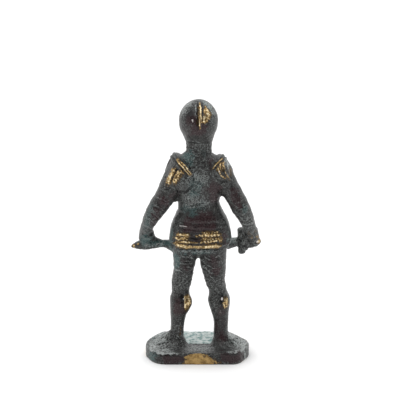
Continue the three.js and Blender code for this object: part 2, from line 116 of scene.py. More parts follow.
def loft(stations, relief=None, start=0.0, end=0.0, power=1.0, side=None, square=1.0):
    """
    A limb or trunk through its stations. start and end round its ends off, by that many millimetres, and a
    power over 1 makes them more pointed. side is the direction of the rings' width, which a seventh number in
    the stations can give instead, as a tilt in degrees. square under 1 makes the corners of a ring fuller.
    """
    rows = np.array(stations, float)
    rows[:, :6] *= SHARE
    last = len(rows) - 1
    length = np.linalg.norm(np.diff(rows[:, :3], axis=0), axis=1).sum()
    s = np.linspace(0, last, int(length / GRID) + 3)
    push, shrink = np.zeros_like(s), np.ones_like(s)
    for station, reach in ((0, -start), (last, end)):
        if reach:
            phi = np.linspace(0, math.pi / 2, int(abs(reach) / GRID) + 6)[1:-1]
            extra = [np.full_like(phi, station), reach * np.sin(phi), np.cos(phi) ** power]
            if station == 0:
                s, push, shrink = (np.append(e[::-1], v) for e, v in zip(extra, (s, push, shrink)))
            else:
                s, push, shrink = (np.append(v, e) for e, v in zip(extra, (s, push, shrink)))
    here = through(rows, s)
    tangent = unit(through(rows, s + 0.01)[:, :3] - through(rows, s - 0.01)[:, :3])
    if side is not None:
        across = np.broadcast_to(unit(np.array(side, float)), tangent.shape)
    elif rows.shape[1] > 6:
        tilt = np.radians(here[:, 6])
        across = np.stack([np.cos(tilt), 0 * tilt, np.sin(tilt)], axis=1)
    else:
        across = unit(np.stack([-tangent[:, 2], 0 * s, tangent[:, 0]], axis=1))
    fore = unit(np.cross(tangent, across))
    centre = here[:, :3] + tangent * push[:, None]
    around = int(2 * math.pi * rows[:, 3:6].max() / GRID) + 8
    angle = np.linspace(0, 2 * math.pi, around, endpoint=False)[None, :]
    raised = relief(angle, s[:, None]) if relief else 0
    depth = np.where(np.sin(angle) > 0, here[:, 4:5], here[:, 5:6])
    wide = signed_power(np.cos(angle), square) * (here[:, 3:4] + raised) * shrink[:, None]
    deep = signed_power(np.sin(angle), square) * (depth + raised) * shrink[:, None]
    rings = centre[:, None] + across[:, None] * wide[..., None] + fore[:, None] * deep[..., None]
    poles = [here[i, :3] + tangent[i] * reach for i, reach in ((0, -start), (-1, end))]
    add_skin(rings, *poles)


def knob(x, y, z, half_x, half_y, half_z, tip=0):
    """An ellipsoid, in shares, tipped in the plane of the shoulders by so many degrees."""
    turn = math.radians(tip)
    up = np.array([-math.sin(turn), 0, math.cos(turn)]) * half_z
    ends = [np.array([x, y, z]) + k * up for k in (-0.02, 0.02)]
    stations = [(*place, half_x, half_y, half_y) for place in ends]
    reach = 0.98 * half_z * SHARE
    loft(stations, start=reach, end=reach, side=(math.cos(turn), 0, math.sin(turn)))


# %% [markdown]
# ## Ridges and plates
#
# Two kinds of relief make nearly all of the armour. A ridge runs along a limb at one angle, such as the
# keel of the breastplate. Plates overlap downwards, so that a blade slides off them: each swells towards
# its lower edge and then steps back in. The caster's plates aren't ruled lines, so they wander a little as
# they go round.


# %% Relief helpers
def soft_step(x):
    x = np.clip(x, 0, 1)
    return x * x * (3 - 2 * x)


def ridge(angle, at, width):
    """A soft ridge along one angle of the rings, its width in degrees."""
    away = (angle - at + math.pi) % (2 * math.pi) - math.pi
    return np.exp(-((np.degrees(away) / width) ** 2))


def plates(angle, s, first, last, count, lip, wander=0.12, point=0.0):
    """Overlapping plates between two stations. point draws each edge into a chevron at the back."""
    waves = wander * (np.sin(3 * angle + 1.7 * s) + 0.6 * np.sin(7 * angle - 2.3 * s))
    chevron = point * np.abs((angle - BACK + math.pi) % (2 * math.pi) - math.pi)
    t = (s - first) / (last - first) * count + waves + chevron
    swell = (t % 1) ** 1.5 * soft_step((1 - t % 1) / 0.16)
    return lip * np.where((t > 0) & (t < count), swell, 0)


# %% [markdown]
# ## The helmet
#
# A close helmet: a round skull, a visor with a beak that shuts over the face, and a comb, the thin ridge
# that stiffens it, worn flat at the crown. The neck below is mail, so it stays plain here and gets its
# grain later. The comb's line goes over the skull by degrees, from the brow to the nape.

# %% Helmet
SKULL = dict(x=0.2, y=-0.6, z=91.4, across=7.4, front=8, back=7.6, power=1.12)
COMB_HEIGHT, COMB_WIDTH = 0.2, 0.3
BROW, WORN_FROM, WORN_TO, NAPE = 30, 40, 108, 190
SKULL_RISE = 100 - SKULL["z"] - COMB_HEIGHT / SHARE

loft(
    [
        [SKULL[k] for k in ("x", "y", "z", "across", "front", "back")],
        (0.2, -0.7, 88.4, 7.1, 7.9, 7.2),
        (0.1, -0.7, 85.2, 5.9, 6.7, 5.8),
        (0, -0.6, 82.2, 4.9, 5.3, 4.8),
        (0, -0.4, 79.6, 4.75, 4.8, 4.7),
        (0.3, -0.2, 77.4, 5.4, 5, 5.4),
    ],
    start=SKULL_RISE * SHARE,
    power=SKULL["power"],
    side=(1, 0, 0),
)
loft(
    [
        (0.2, -1.9, 94.4, 6.4, 6.9, 5),
        (0.2, -2, 92.6, 7.15, 7.7, 5),
        (0.1, -2.1, 89.4, 7.05, 8.8, 5),
        (0.1, -1.9, 86, 5.9, 7.5, 4),
        (0, -1.6, 83.2, 4.8, 5.2, 4),
    ],
    relief=lambda angle, s: SHARE * ridge(angle, FRONT, 20),
)
comb = []
for turn in np.linspace(BROW, NAPE, 50):
    reach = -SKULL["front"] if turn < 90 else SKULL["back"]
    y = SKULL["y"] + reach * abs(math.cos(math.radians(turn))) ** SKULL["power"]
    z = SKULL["z"] + SKULL_RISE * math.sin(math.radians(turn))
    worn = soft_step((turn - WORN_FROM) / 12) * soft_step((WORN_TO - turn) / 7)
    height = COMB_HEIGHT / SHARE * (1 - 1.9 * worn)
    lift = min(0, height) - 0.5 * worn
    height = max(height, 0.3)
    x = -0.22 - 0.45 * math.sin(math.radians(2 * (turn - 100)))
    comb.append((x, y, z + lift, COMB_WIDTH / 2 / SHARE, height, height))
loft(comb, side=(1, 0, 0), start=COMB_HEIGHT, end=COMB_HEIGHT)
print(f"helmet: {len(forms)} forms")

# %% [markdown]
# ## Trunk and skirt
#
# The breastplate has a keel down the front, and the backplate a shallow groove along the spine. Below the
# waist four plates flare over the hips and end in a rolled hem, which is where a hand rubs the brass bare.

# %% Trunk and skirt
SKIRT_LIP, HEM_ROLL = 0.2, 0.24
hem = HEM_ROLL / SHARE


def trunk_relief(angle, s):
    """The keel, the groove of the spine, the swell of the shoulder blades and the plate over the belly."""
    grow = np.minimum(1, s / 2)
    keel = 0.6 * SHARE * ridge(angle, FRONT, 16) * grow
    spine = -0.45 * SHARE * ridge(angle, BACK, 13) * grow
    blades = sum(ridge(angle, BACK + hand * 0.75, 20) for hand in (-1, 1))
    muscle = 0.3 * SHARE * blades * np.exp(-(((s - 3.3) / 1.2) ** 2))
    placket = 0.1 * soft_step((s - 4.9 + 0.5 * ridge(angle, FRONT, 22)) / 0.15) * soft_step((6.2 - s) / 0.3)
    return keel + spine + muscle + placket * soft_step(np.sin(angle) * 3)


loft(
    [
        (0, 0, 79.4, 4.5, 4.3, 4.5),
        (0.45, 0, 77.6, 5.7, 4.9, 5.6),
        (0, 0, 75, 9, 5.9, 6.6),
        (0, 0, 70.5, 9.9, 7.5, 7.3),
        (0, -0.1, 65.5, 9.5, 8, 7.2),
        (-0.1, -0.1, 61, 8.3, 7.3, 6.5),
        (0.15, 0, 58, 7.8, 6.3, 5.9),
        (0, 0, 54, 8, 6, 5.8),
    ],
    relief=trunk_relief,
    side=(1, 0, 0),
)


def lames(angle, s):
    """The skirt's plates show in front and fade out at the sides, where the mould was parted."""
    return plates(angle, s, 0.8, 4.8, 4, SKIRT_LIP, wander=0.05) * soft_step(np.sin(angle) * 1.6)


loft(
    [
        (0.1, 0, 58, 7.5, 5.8, 5.5),
        (-0.2, 0, 55.2, 8.2, 6.2, 6),
        (-0.3, 0, 52.4, 9.5, 6.9, 6.8),
        (-0.4, 0, 49.6, 10.7, 7.5, 7.4),
        (-0.45, 0, 46.8, 11.4, 7.9, 7.9),
        (-0.5, 0, 44, 11.8, 8.1, 8.1),
        (-0.5, 0, 43.2, 11.6 + 0.5 * hem, 8 + hem, 8 + hem),
        (-0.5, 0, 42.5, 11.3 + 0.5 * hem, 7.9 + hem, 7.9 + hem),
        (-0.5, 0, 41.9, 10.6, 7.2, 7.2),
    ],
    relief=lames,
    square=0.8,
)
print(f"trunk and skirt: {len(forms)} forms so far")

# %% [markdown]
# ## Shoulders
#
# Each pauldron is a cap over the shoulder, tilted from the neck down towards the shoulder blade, with a
# round wing behind the armpit. A double roll borders it from the chest over the corner of the shoulder to
# the back: on the real armour it stops a blade from sliding into the neck.


# %% Pauldrons
def pauldron(hand, stations, wing):
    """The cap of a shoulder, with two flutes down its front, and the wing behind. hand is 1 for the left."""
    outer = 0 if hand > 0 else math.pi

    def flutes(angle, s):
        fade = soft_step(s / 0.6) * (1 - soft_step(s - 2))
        at = outer + hand * math.radians(40)
        return 0.6 * SHARE * fade * (ridge(angle, at, 10) + ridge(angle, at - hand * 0.5, 8))

    loft(stations, relief=flutes, start=0.9 * SHARE, end=1.5 * SHARE)
    knob(*wing)


def rolls(hand, stops):
    """The double roll along a pauldron's upper edge, as two round cords side by side."""
    for shift, radius in ((0, 0.8), (1.05, 0.65)):
        cord = [(x + hand * shift, y, z - shift, radius, radius, radius) for x, y, z in stops]
        loft(cord, side=(hand, 0, -1), start=0.6 * SHARE, end=0.6 * SHARE)


pauldron(
    1,
    [
        (5.6, 0.4, 74.3, 4.9, 5.8, 6.5, 46),
        (7.1, 0.5, 71.5, 5, 5.9, 6.6, 40),
        (8.4, 0.6, 68.8, 4.6, 5.4, 6.1, 31),
        (9.5, 0.7, 66.2, 4.15, 4.7, 5.2, 25),
    ],
    wing=(5.6, 4.4, 69.6, 5.1, 3.4, 5.3),
)
pauldron(
    -1,
    [
        (-5.9, 0.4, 74.4, 3.9, 5.4, 6, -46),
        (-7.4, 0.5, 71.8, 4.1, 5.6, 6.1, -40),
        (-8.7, 0.6, 69.2, 4.15, 5.3, 5.8, -31),
        (-9.8, 0.7, 66.4, 3.9, 4.7, 5, -25),
    ],
    wing=(-7.2, 4, 71.8, 4.4, 3.4, 4.6),
)
rolls(
    1,
    [
        (4.2, -6.8, 71.6),
        (6.8, -5.3, 73.6),
        (8.7, -2.4, 76),
        (9.3, 0.8, 77.8),
        (7.8, 4.4, 76.6),
        (5.4, 6.6, 74.7),
        (2.9, 7.3, 72.4),
    ],
)
rolls(
    -1,
    [
        (-4.2, -6.8, 71.6),
        (-6.7, -5.2, 73.4),
        (-8.4, -2.4, 75.4),
        (-8.9, 0.8, 77.1),
        (-7.7, 4.1, 76),
        (-5.8, 6, 74.4),
    ],
)
print(f"shoulders: {len(forms)} forms so far")

# %% [markdown]
# ## Arms and gauntlets
#
# Six plates run down each arm, over a round elbow cop, to a flared cuff. At the back they come to a point,
# most of all on the right arm. The hands close round the sword, so only knuckles and finger plates show.

# %% Arms and gauntlets
ARM_LIP = 0.07
HAND_LEFT = np.array([19.9, -6, 38.3])
HAND_RIGHT = np.array([-19.8, -6.5, 38.8])


def arm(stations, point):
    """An arm from the shoulder to the wrist. point draws its plates into chevrons."""
    loft(stations, relief=lambda angle, s: plates(angle, s, 1.9, 6.4, 6, ARM_LIP, 0.05, point))


arm(
    [
        (7.4, 0.4, 75, 2.8, 3.4, 3.4),
        (8.5, 0.6, 71.5, 3.7, 4.1, 4.1),
        (10.4, 1, 66.3, 4.05, 4.1, 4.1),
        (12.8, 1.4, 61, 3.75, 4.2, 4.2),
        (15.7, 1.5, 56.4, 3.5, 3.9, 3.9),
        (18, 0.2, 51.9, 2.95, 3.5, 3.5),
        (19.6, -2, 47.4, 2.35, 2.8, 2.8),
        (20.2, -4.2, 43.6, 2.55, 2.4, 2.4),
        (20.3, -6, 40.2, 2.7, 2.4, 2.4),
    ],
    point=0.1,
)
arm(
    [
        (-7.2, 0.4, 75, 2.9, 3.4, 3.4),
        (-8.6, 0.6, 71.5, 3.7, 4.1, 4.1),
        (-10.5, 1, 66.3, 3.8, 4.1, 4.1),
        (-13.5, 1.4, 61, 3.5, 4.2, 4.2),
        (-15.8, 1.5, 56.4, 3.4, 3.8, 3.8),
        (-17.7, 0.2, 51.9, 2.9, 3.4, 3.4),
        (-19, -2, 47.4, 2.45, 2.8, 2.8),
        (-20, -4.2, 43.6, 2.5, 2.6, 2.6),
        (-20.3, -6, 40.2, 2.75, 2.4, 2.4),
    ],
    point=0.3,
)


def gauntlet(hand, at, size):
    """A cuff, the back of the hand, and four fingers, each with a knuckle and a plate."""
    x, y, z = at
    cuff = [
        (x - hand * 0.3, y + 2.6, z + 5.6, *[2.7 * size] * 3),
        (x, y + 1.2, z + 3.2, *[2.3 * size] * 3),
        (x, y + 0.6, z + 2, 2.4 * size, 2.3 * size, 2.3 * size),
    ]
    loft(cuff, start=0.3, end=0.3)
    knob(x, y, z + 0.6, 3 * size, 2.5 * size, 2.6 * size)
    for step in (-1.5, -0.5, 0.5, 1.5):
        across = x + step * 1.35 * size
        knob(across, y - 1.1 * size, z + 0.4, 0.74 * size, 2.1 * size, 2.2 * size)
        knob(across, y - 2.4 * size, z + 1.6 * size, 0.7 * size, 0.8 * size, 0.8 * size)
        knob(across, y - 2.4 * size, z - 0.6 * size, 0.7 * size, 0.75 * size, 0.9 * size)


# The elbow cops, and the metal that fills the armpits
for hand in (-1, 1):
    knob(hand * 15.6, 2.5, 56.6, 3.4, 3.2, 2.9, tip=hand * 25)
knob(9, 0.4, 61, 1.6, 2.8, 2.6)
knob(-9.3, 0.3, 62.6, 1.4, 2.6, 2)
gauntlet(1, HAND_LEFT, 0.95)
gauntlet(-1, HAND_RIGHT, 1.12)
print(f"arms: {len(forms)} forms so far")

# %% [markdown]
# ## The sword
#
# The blade lies level, one flat towards the front, and its point hangs a little where the wax once sagged.
# The guard is a lumpy bar with a swell at each end and in the middle, and a round pommel closes the grip.
# Blade, grip and guard are given in millimetres, their places in shares.

# %% Sword
along = unit(HAND_LEFT - HAND_RIGHT)
GUARD_X = -16.2
guard = HAND_RIGHT + (HAND_LEFT - HAND_RIGHT) * (GUARD_X - HAND_RIGHT[0]) / (HAND_LEFT - HAND_RIGHT)[0]
TIP_BEYOND_HAND, TIP_DROOP, SHOULDER = 2.3, 0.35, 2.4
POMMEL_BEYOND_HAND, POMMEL_RADIUS = 0.75, 0.66
GUARD_LENGTH, GUARD_THICKNESS, GUARD_LIFT = 4.05, 1.2, 0.6


def on_sword(start, distance, drop=0.0):
    """A place so many millimetres along the sword from another, and so many below it, in shares."""
    return start + along * distance / SHARE - np.array([0, 0, drop / SHARE])


def section(place, width, thickness):
    """A station with its sizes in millimetres."""
    return (*place, width / 2 / SHARE, thickness / 2 / SHARE, thickness / 2 / SHARE)


def fuller(angle, s):
    """The shallow groove down each flat of the blade."""
    return -0.1 * (ridge(angle, FRONT, 26) + ridge(angle, BACK, 26)) * soft_step((2.5 - s) / 0.6)


loft(
    [
        section(guard, 1.5, 0.74),
        section(on_sword(guard, 2), 1.4, 0.74),
        section(on_sword(HAND_LEFT, TIP_BEYOND_HAND - SHOULDER, 0.1), 1.15, 0.74),
        section(on_sword(HAND_LEFT, TIP_BEYOND_HAND - SHOULDER / 4, TIP_DROOP), 0.76, 0.67),
    ],
    relief=fuller,
    end=SHOULDER / 4,
)
loft([section(on_sword(HAND_RIGHT, -POMMEL_BEYOND_HAND), 0.9, 0.9), section(guard, 0.9, 0.9)])
knob(*on_sword(HAND_RIGHT, -POMMEL_BEYOND_HAND, -0.1), *[POMMEL_RADIUS / SHARE] * 3)
swells = [0.5, 0.47, 0.44, 0.52, 0.44, 0.46, 0.47]
bar = []
for i, swell in enumerate(swells):
    height = (0.5 - i / (len(swells) - 1)) * (GUARD_LENGTH - GUARD_THICKNESS * 0.6) / SHARE + GUARD_LIFT
    radius = GUARD_THICKNESS * swell / SHARE
    bar.append((guard[0] + 0.03 * height, guard[1], guard[2] + height, radius, radius, radius))
loft(bar, start=GUARD_THICKNESS * 0.3, end=GUARD_THICKNESS * 0.35, power=0.6)
print(f"sword: guard {GUARD_LENGTH} mm long, {len(forms)} forms so far")

# %% [markdown]
# Where thin parts meet, the founder's wax was smeared over to let the metal run: the left hand has become
# one wedge with the blade, both hips have a web of metal to the blade in front of them, and lumps fill the
# space between the right hand and the guard.

# %% Webs of metal between hands, blade and hips
loft(
    [
        section(on_sword(HAND_LEFT, -2.1, 0.1), 1.1, 0.7),
        section(on_sword(HAND_LEFT, -0.9, 0.12), 1.4, 1.2),
        section(on_sword(HAND_LEFT, 0.2, 0.15), 1.6, 1.6),
        section(on_sword(HAND_LEFT, 1.0, 0.22), 1.35, 1.2),
        section(on_sword(HAND_LEFT, 1.75, TIP_DROOP), 0.85, 0.75),
    ],
    start=0.3,
    end=0.3,
)
loft(
    [
        (19.4, -4.4, 44.5, 1.9, 1.9, 1.9),
        (18.9, -5.1, 41.6, 2.1, 1.9, 1.9),
        (17.6, -5.7, 39.6, 1.9, 1.7, 1.7),
        (15.2, -6, 38.7, 1.5, 1.2, 1.2),
    ],
    start=0.5,
    end=0.5,
)
loft(
    [
        (14, -5.5, 38.6, 1.5, 1, 1),
        (12, -5, 38.35, 1.7, 1.2, 1.2),
        (10.9, -4.4, 38.1, 1.9, 1.4, 1.4),
        (9.8, -3.6, 38.1, 2.3, 1.6, 1.6),
        (8.4, -2.6, 37.8, 2.4, 1.8, 1.8),
    ],
)
loft(
    [
        (-10.6, -4.4, 38.5, 2.1, 1.4, 1.4),
        (-12.2, -5.1, 38.6, 1.85, 1.2, 1.2),
        (-14.4, -5.8, 38.9, 1.7, 1, 1),
    ],
)
LUMPS = [(-17.4, 42, 1.5, 1.9), (-17.7, 39.8, 1.8, 2), (-18.2, 38.6, 1.7, 1.6), (-17.5, 37.2, 1.3, 1.5)]
for x, z, half_x, half_z in LUMPS:
    knob(x, -5.2, z, half_x, 1.7, half_z)
print(f"webs: {len(forms)} forms so far")

# %% [markdown]
# ## Legs and feet
#
# The thighs are plated like the arms, but the wax was pushed about there, and the plates have become short
# wavy folds. Behind each knee is mail, and below it a greave that swells over the calf, with a leaf of
# plate standing away from it. The feet are plated too and turn outwards, half sunk into the plinth as the
# metal ran together.

# %% Legs
LEG_LIP = 0.085


def leg_relief(angle, s):
    """The keel of the shin, the upper edge of the greave and the plates of the thigh."""
    shin = 0.5 * SHARE * ridge(angle, FRONT, 18) * np.clip(s - 5, 0, 1)
    greave = 0.07 * soft_step((s - 5.75 + 0.2 * np.cos(2 * angle)) / 0.14) * soft_step((9.4 - s) / 0.3)
    return shin + greave + plates(angle, s, 1.2, 4.5, 5, LEG_LIP, wander=0.22)


loft(
    [
        (4.9, 0.2, 46, 5, 5.3, 5.3),
        (5.2, 0.2, 38, 4.8, 5.2, 5.2),
        (5.5, 0.1, 34, 4.25, 4.8, 4.9),
        (5.9, 0, 29.8, 3.75, 4.3, 4.4),
        (6.6, 0, 25.7, 3.7, 4.1, 4),
        (7, -0.3, 21.8, 3.35, 4.1, 3.5),
        (7.2, -0.1, 17.6, 3.7, 3.7, 4),
        (7.75, 0.3, 13.4, 3.1, 3.2, 3.6),
        (8.1, 0.6, 9.4, 2.5, 2.7, 2.9),
        (8.35, 0.9, 5, 2.35, 2.5, 2.6),
        (8.2, 1, 0.6, 2.7, 2.8, 3),
    ],
    relief=leg_relief,
)
loft(
    [
        (-5.3, 0.2, 46, 5.4, 5.3, 5.3),
        (-5.4, 0.2, 38, 5.1, 5.2, 5.2),
        (-5.3, 0.1, 34, 4.95, 4.9, 5),
        (-5.75, 0, 29.8, 4.4, 4.4, 4.5),
        (-6.1, 0, 25.7, 3.6, 4.1, 4),
        (-7, -0.3, 21.8, 3.3, 4.1, 3.5),
        (-7.6, -0.1, 17.6, 4.05, 3.8, 4),
        (-8, 0.3, 13.4, 3.25, 3.2, 3.6),
        (-8.35, 0.6, 9.4, 2.6, 2.7, 2.9),
        (-8.3, 0.9, 5, 2.55, 2.5, 2.6),
        (-8.3, 1, 0.6, 3, 2.8, 3),
    ],
    relief=leg_relief,
)
# The fork, the knee caps in front and the leaves over the calves
knob(-0.1, 0, 40.6, 5.4, 4.6, 5.4)
for x in (7, -7):
    knob(x, -2.5, 22, 3.3, 2.9, 3.2)
for leaf in (
    [
        (5.5, 1.2, 21.8, 1.1, 1.2, 1.5),
        (5.1, 1.8, 19.4, 2, 1.8, 2.1),
        (4.9, 2, 17.2, 2.3, 2, 2.3),
        (5.4, 2, 15, 2.05, 1.8, 1.9),
        (5.9, 1.9, 12.8, 1.3, 1.3, 1.3),
        (6.4, 1.8, 11, 0.7, 1, 1),
    ],
    [
        (-9.1, 1.3, 21.2, 1.1, 1.2, 1.4),
        (-9.5, 1.8, 19, 1.9, 1.8, 2),
        (-9.6, 1.9, 16.8, 1.9, 1.8, 2),
        (-9.1, 1.8, 13.8, 1, 1.2, 1.2),
    ],
):
    loft(leaf, side=(1, 0, 0), start=0.2, end=0.2)
print(f"legs: {len(forms)} forms so far")

# %% Feet
TOE_REACH, HEEL_REACH = 17.4, 4.9


def foot(hand, instep):
    """The shoe from heel to toe, and the foot of the leg, which spreads like a trunk into its roots."""
    loft(
        [
            (hand * 6.4, 2, 0.6, 2.2, 2.3, 2.3),
            (hand * 8.6, 1.6, 1.2, 4.2 * instep, 2.9, 2.9),
            (hand * 11, 1.2, 0.9, 4 * instep, 2.9, 2.9),
            (hand * 12.9, 0.8, 0.5, 2.5 * instep, 2.7, 2.7),
            (hand * 15.2, 0.3, 0, 1.4, 2.1, 2.1),
        ],
        relief=lambda angle, s: plates(angle, s, 1.4, 3.8, 4, LEG_LIP, wander=0.08),
        start=1.2 * SHARE,
        end=(TOE_REACH - 15.2) * SHARE,
    )
    loft(
        [
            (hand * 8.2, 1.1, 8, 1.9, 2.3, 2.4),
            (hand * 8.3, 1.2, 5, 2.2, 2.5, 2.7),
            (hand * 8.5, 1.3, 2.6, 2.8, 2.9, 3.6),
            (hand * 8.9, 1.4, 0.9, 3.9, 3.4, 4.9),
            (hand * 9.3, 1.5, -0.9, 5.4, 4.2, 6.4),
        ],
        side=(1, 0, 0),
    )


foot(1, 1)
foot(-1, 0.85)
figure_points = sum(len(points) for points, _ in forms)
forms = [(points + FIGURE_PLACE, faces) for points, faces in forms]
print(f"figure: {len(forms)} forms, {figure_points} points")

# %% [markdown]
# ## The plinth
#
# A low block with its four corners cut off, the two at the toes more deeply, and every bend rounded. Its
# size follows from the feet: a margin beyond the toes and another behind the heels. Each slab is a stack of
# the same outline, drawn in a little at the top and the bottom to round the edges. The end under the left
# foot is worn rounder than the other. The ground under the heels is a second, slightly thicker slab. A
# corner's cut is what it takes off the long side and off the short one.

# %% Plinth
TOE_MARGIN, HEEL_MARGIN = 0.85, 2.36
LEFT_HEEL_CUT, RIGHT_HEEL_CUT = (1.4, 2.8), (1.5, 2.8)
RIGHT_TOE_CUT, LEFT_TOE_CUT = (2.8, 3.4), (2.2, 3.3)
CORNER_RADIUS, WORN_RADIUS, GROUND_RADIUS = 1.0, 1.75, 0.4
PLINTH_EDGE, GROUND_RISE, GROUND_EDGE = 0.15, 0.28, 1.5 * SHARE
half_length = TOE_REACH * SHARE + TOE_MARGIN
half_depth = FIGURE_PLACE[1] + HEEL_REACH * SHARE + HEEL_MARGIN


def rounded(corners, radii):
    """An outline with every bend replaced by a curve, and points all along it."""
    outline = []
    for i, corner in enumerate(corners):
        after, following_radius = corners[(i + 1) % len(corners)], radii[(i + 1) % len(corners)]
        arms = [other - corner for other in (corners[i - 1], after)]
        lengths = [np.linalg.norm(arm) for arm in arms]
        start, end = (corner + arm * min(radii[i] / length, 0.48) for arm, length in zip(arms, lengths))
        for t in np.linspace(0, 1, 14):
            outline.append((1 - t) ** 2 * start + 2 * t * (1 - t) * corner + t * t * end)
        following = after + (corner - after) * min(following_radius / lengths[1], 0.48)
        gaps = int(np.linalg.norm(following - end) / GRID)
        outline += [end + (following - end) * k / gaps for k in range(1, gaps)]
    return np.array(outline)


def slab(corners, radii, thickness):
    """A flat block of an outline, its upper and lower edges rounded."""
    outline = rounded([np.array(corner, float) for corner in corners], radii)
    ahead = unit(np.roll(outline, -1, axis=0) - np.roll(outline, 1, axis=0))
    outward = np.stack([ahead[:, 1], -ahead[:, 0]], axis=1)
    bend = np.linspace(0, math.pi / 2, 6)
    drawn_in = PLINTH_EDGE * (1 - np.sin(bend))
    lift = PLINTH_EDGE * (1 - np.cos(bend))
    wall = np.arange(PLINTH_EDGE + GRID, thickness - PLINTH_EDGE, GRID)
    insets = np.concatenate([drawn_in, 0 * wall, drawn_in[::-1]])
    heights = np.concatenate([lift, wall, thickness - lift[::-1]])
    rings = [np.column_stack([outline - outward * inset, np.full(len(outline), z)])
             for inset, z in zip(insets, heights)]
    middle = outline.mean(axis=0)
    add_skin(np.array(rings), (*middle, 0), (*middle, thickness))


def oblong(front):
    """The plinth's corners and the radius of each bend, with its front edge at y = front."""
    x, y = half_length, half_depth
    (left, left_in), (right, right_in) = LEFT_HEEL_CUT, RIGHT_HEEL_CUT
    back = [(x, y - left_in), (x - left, y), (right - x, y), (-x, y - right_in)]
    radii = [WORN_RADIUS, WORN_RADIUS, CORNER_RADIUS, CORNER_RADIUS]
    if front > -y:
        return [(-x, front), (x, front)] + back, [GROUND_RADIUS] * 2 + radii
    (left, left_in), (right, right_in) = LEFT_TOE_CUT, RIGHT_TOE_CUT
    cut_front = [(-x, right_in - y), (right - x, -y), (x - left, -y), (x, left_in - y)]
    return cut_front + back, [CORNER_RADIUS] * 3 + [WORN_RADIUS] + radii


slab(*oblong(-half_depth), PLINTH_THICKNESS - GROUND_RISE)
slab(*oblong(GROUND_EDGE), PLINTH_THICKNESS)
print(f"plinth {2 * half_length:.2f} x {2 * half_depth:.2f} x {PLINTH_THICKNESS} mm")

# %% [markdown]
# ## One pour of metal
#
# So far the knight is a heap of overlapping shells. A voxel remesh fills them with small cubes and draws
# one new skin round the whole, much as pouring metal does. A boolean union would keep every hard crease
# between the forms. Metal doesn't: it leaves a small fillet in each hollow. So the new skin is relaxed,
# mostly where it is hollow, while ridges keep their height. On the ground this goes on much longer, until
# the feet spread into the plinth as the roots of a tree do, and so it does where hands, blade and hips run
# together.

# %% Fusing forms and reading a mesh
VOXEL = 0.08


def make_mesh(name, points, faces):
    mesh = bpy.data.meshes.new(name)
    mesh.from_pydata(points.tolist(), [], faces.tolist())
    return mesh


def fused(forms, voxel):
    offsets = np.cumsum([0] + [len(points) for points, _ in forms])
    points = np.vstack([points for points, _ in forms])
    faces = np.vstack([faces + offset for (_, faces), offset in zip(forms, offsets)])
    shells = bpy.data.objects.new("shells", make_mesh("shells", points, faces))
    bpy.context.scene.collection.objects.link(shells)
    remesh = shells.modifiers.new("Fuse", "REMESH")
    remesh.mode = "VOXEL"
    remesh.voxel_size = voxel
    skin = bpy.data.meshes.new_from_object(shells.evaluated_get(bpy.context.evaluated_depsgraph_get()))
    bpy.data.objects.remove(shells)
    return skin


def read(mesh, what, size, kind=np.float32):
    """One property of every point, edge or face of a mesh as a numpy table."""
    collection, attribute = what
    values = np.empty(len(getattr(mesh, collection)) * size, kind)
    getattr(mesh, collection).foreach_get(attribute, values)
    return values.reshape(-1, size)


def read_points(mesh):
    return read(mesh, ("vertices", "co"), 3).astype(float)


def read_normals(mesh):
    return read(mesh, ("vertex_normals", "vector"), 3).astype(float)


def write_points(mesh, points):
    mesh.vertices.foreach_set("co", points.astype(np.float32).ravel())
    mesh.update()


# %% Fuse and relax the skin
def neighbour_mean(values, pairs):
    """For each point, the mean of its neighbours' values."""
    ends = np.concatenate([pairs, pairs[:, ::-1]])
    count = np.bincount(ends[:, 0], minlength=len(values))[:, None]
    columns = [np.bincount(ends[:, 0], column[ends[:, 1]], len(values)) for column in values.T]
    return np.stack(columns, axis=1) / np.maximum(count, 1)


def relaxed(points, normals, hollows, ridges):
    """One round of smoothing, with one strength for the points in hollows and one for those on ridges."""
    pull = neighbour_mean(points, pairs) - points
    outward = np.sum(pull * normals, axis=1)
    return points + pull * np.where(outward > 0, hollows, ridges)[:, None]


def melting(points):
    """1 on the ground and where thin parts meet, where metal ran together, and 0 elsewhere."""
    height = points[:, 2] - PLINTH_THICKNESS
    most = soft_step((ROOTS - height) / 0.4) * soft_step((height + GROUND_RISE + 0.12) / 0.1)
    for x, y, z, radius in MEETING_PLACES:
        gap = np.linalg.norm((points - FIGURE_PLACE) / SHARE - (x, y, z), axis=1)
        most = np.maximum(most, soft_step(2 - gap / radius))
    return most


ROUNDS, ROUNDS_ALL_OVER = 45, 9
ROOTS = 1.1  # how high above the ground the feet spread into it
MEETING_PLACES = [
    (9, 0.4, 59, 2.5),
    (-9.3, 0.3, 61.5, 2.5),
    (17.5, -5.4, 41.5, 3),
    (11.5, -5, 38, 3),
    (-12.2, -5, 38.8, 2.5),
    (-18, -6, 41, 3.5),
    (0, 0, 34, 2.5),
]
skin = fused(forms, VOXEL)
pairs = read(skin, ("edges", "vertices"), 2, np.int32)
points = read_points(skin)
for i in range(ROUNDS):
    if i < ROUNDS_ALL_OVER or i % 6 == 0:
        write_points(skin, points)
        normals, melt = read_normals(skin), melting(points)
    hollows, ridges = (0.5, 0.12) if i < ROUNDS_ALL_OVER else (0.5 * melt, 0.03 * melt)
    points = relaxed(points, normals, hollows, ridges)
write_points(skin, points)
print(f"fused skin: {len(points)} points")

# %% [markdown]
# ## The photograph as a measuring sheet
#
# The finer marks are placed where the photograph shows them. It was taken from behind, from 23 degrees
# above the horizon, and from so far that near things look no larger, so a pixel is the same length
# everywhere: 6.9 of them are a millimetre. Each point of the skin gets its pixel, and a mark is a line of
# pixels. Marks only reach points that face the camera, and those on the trunk only its back, so nothing
# hidden is marked.

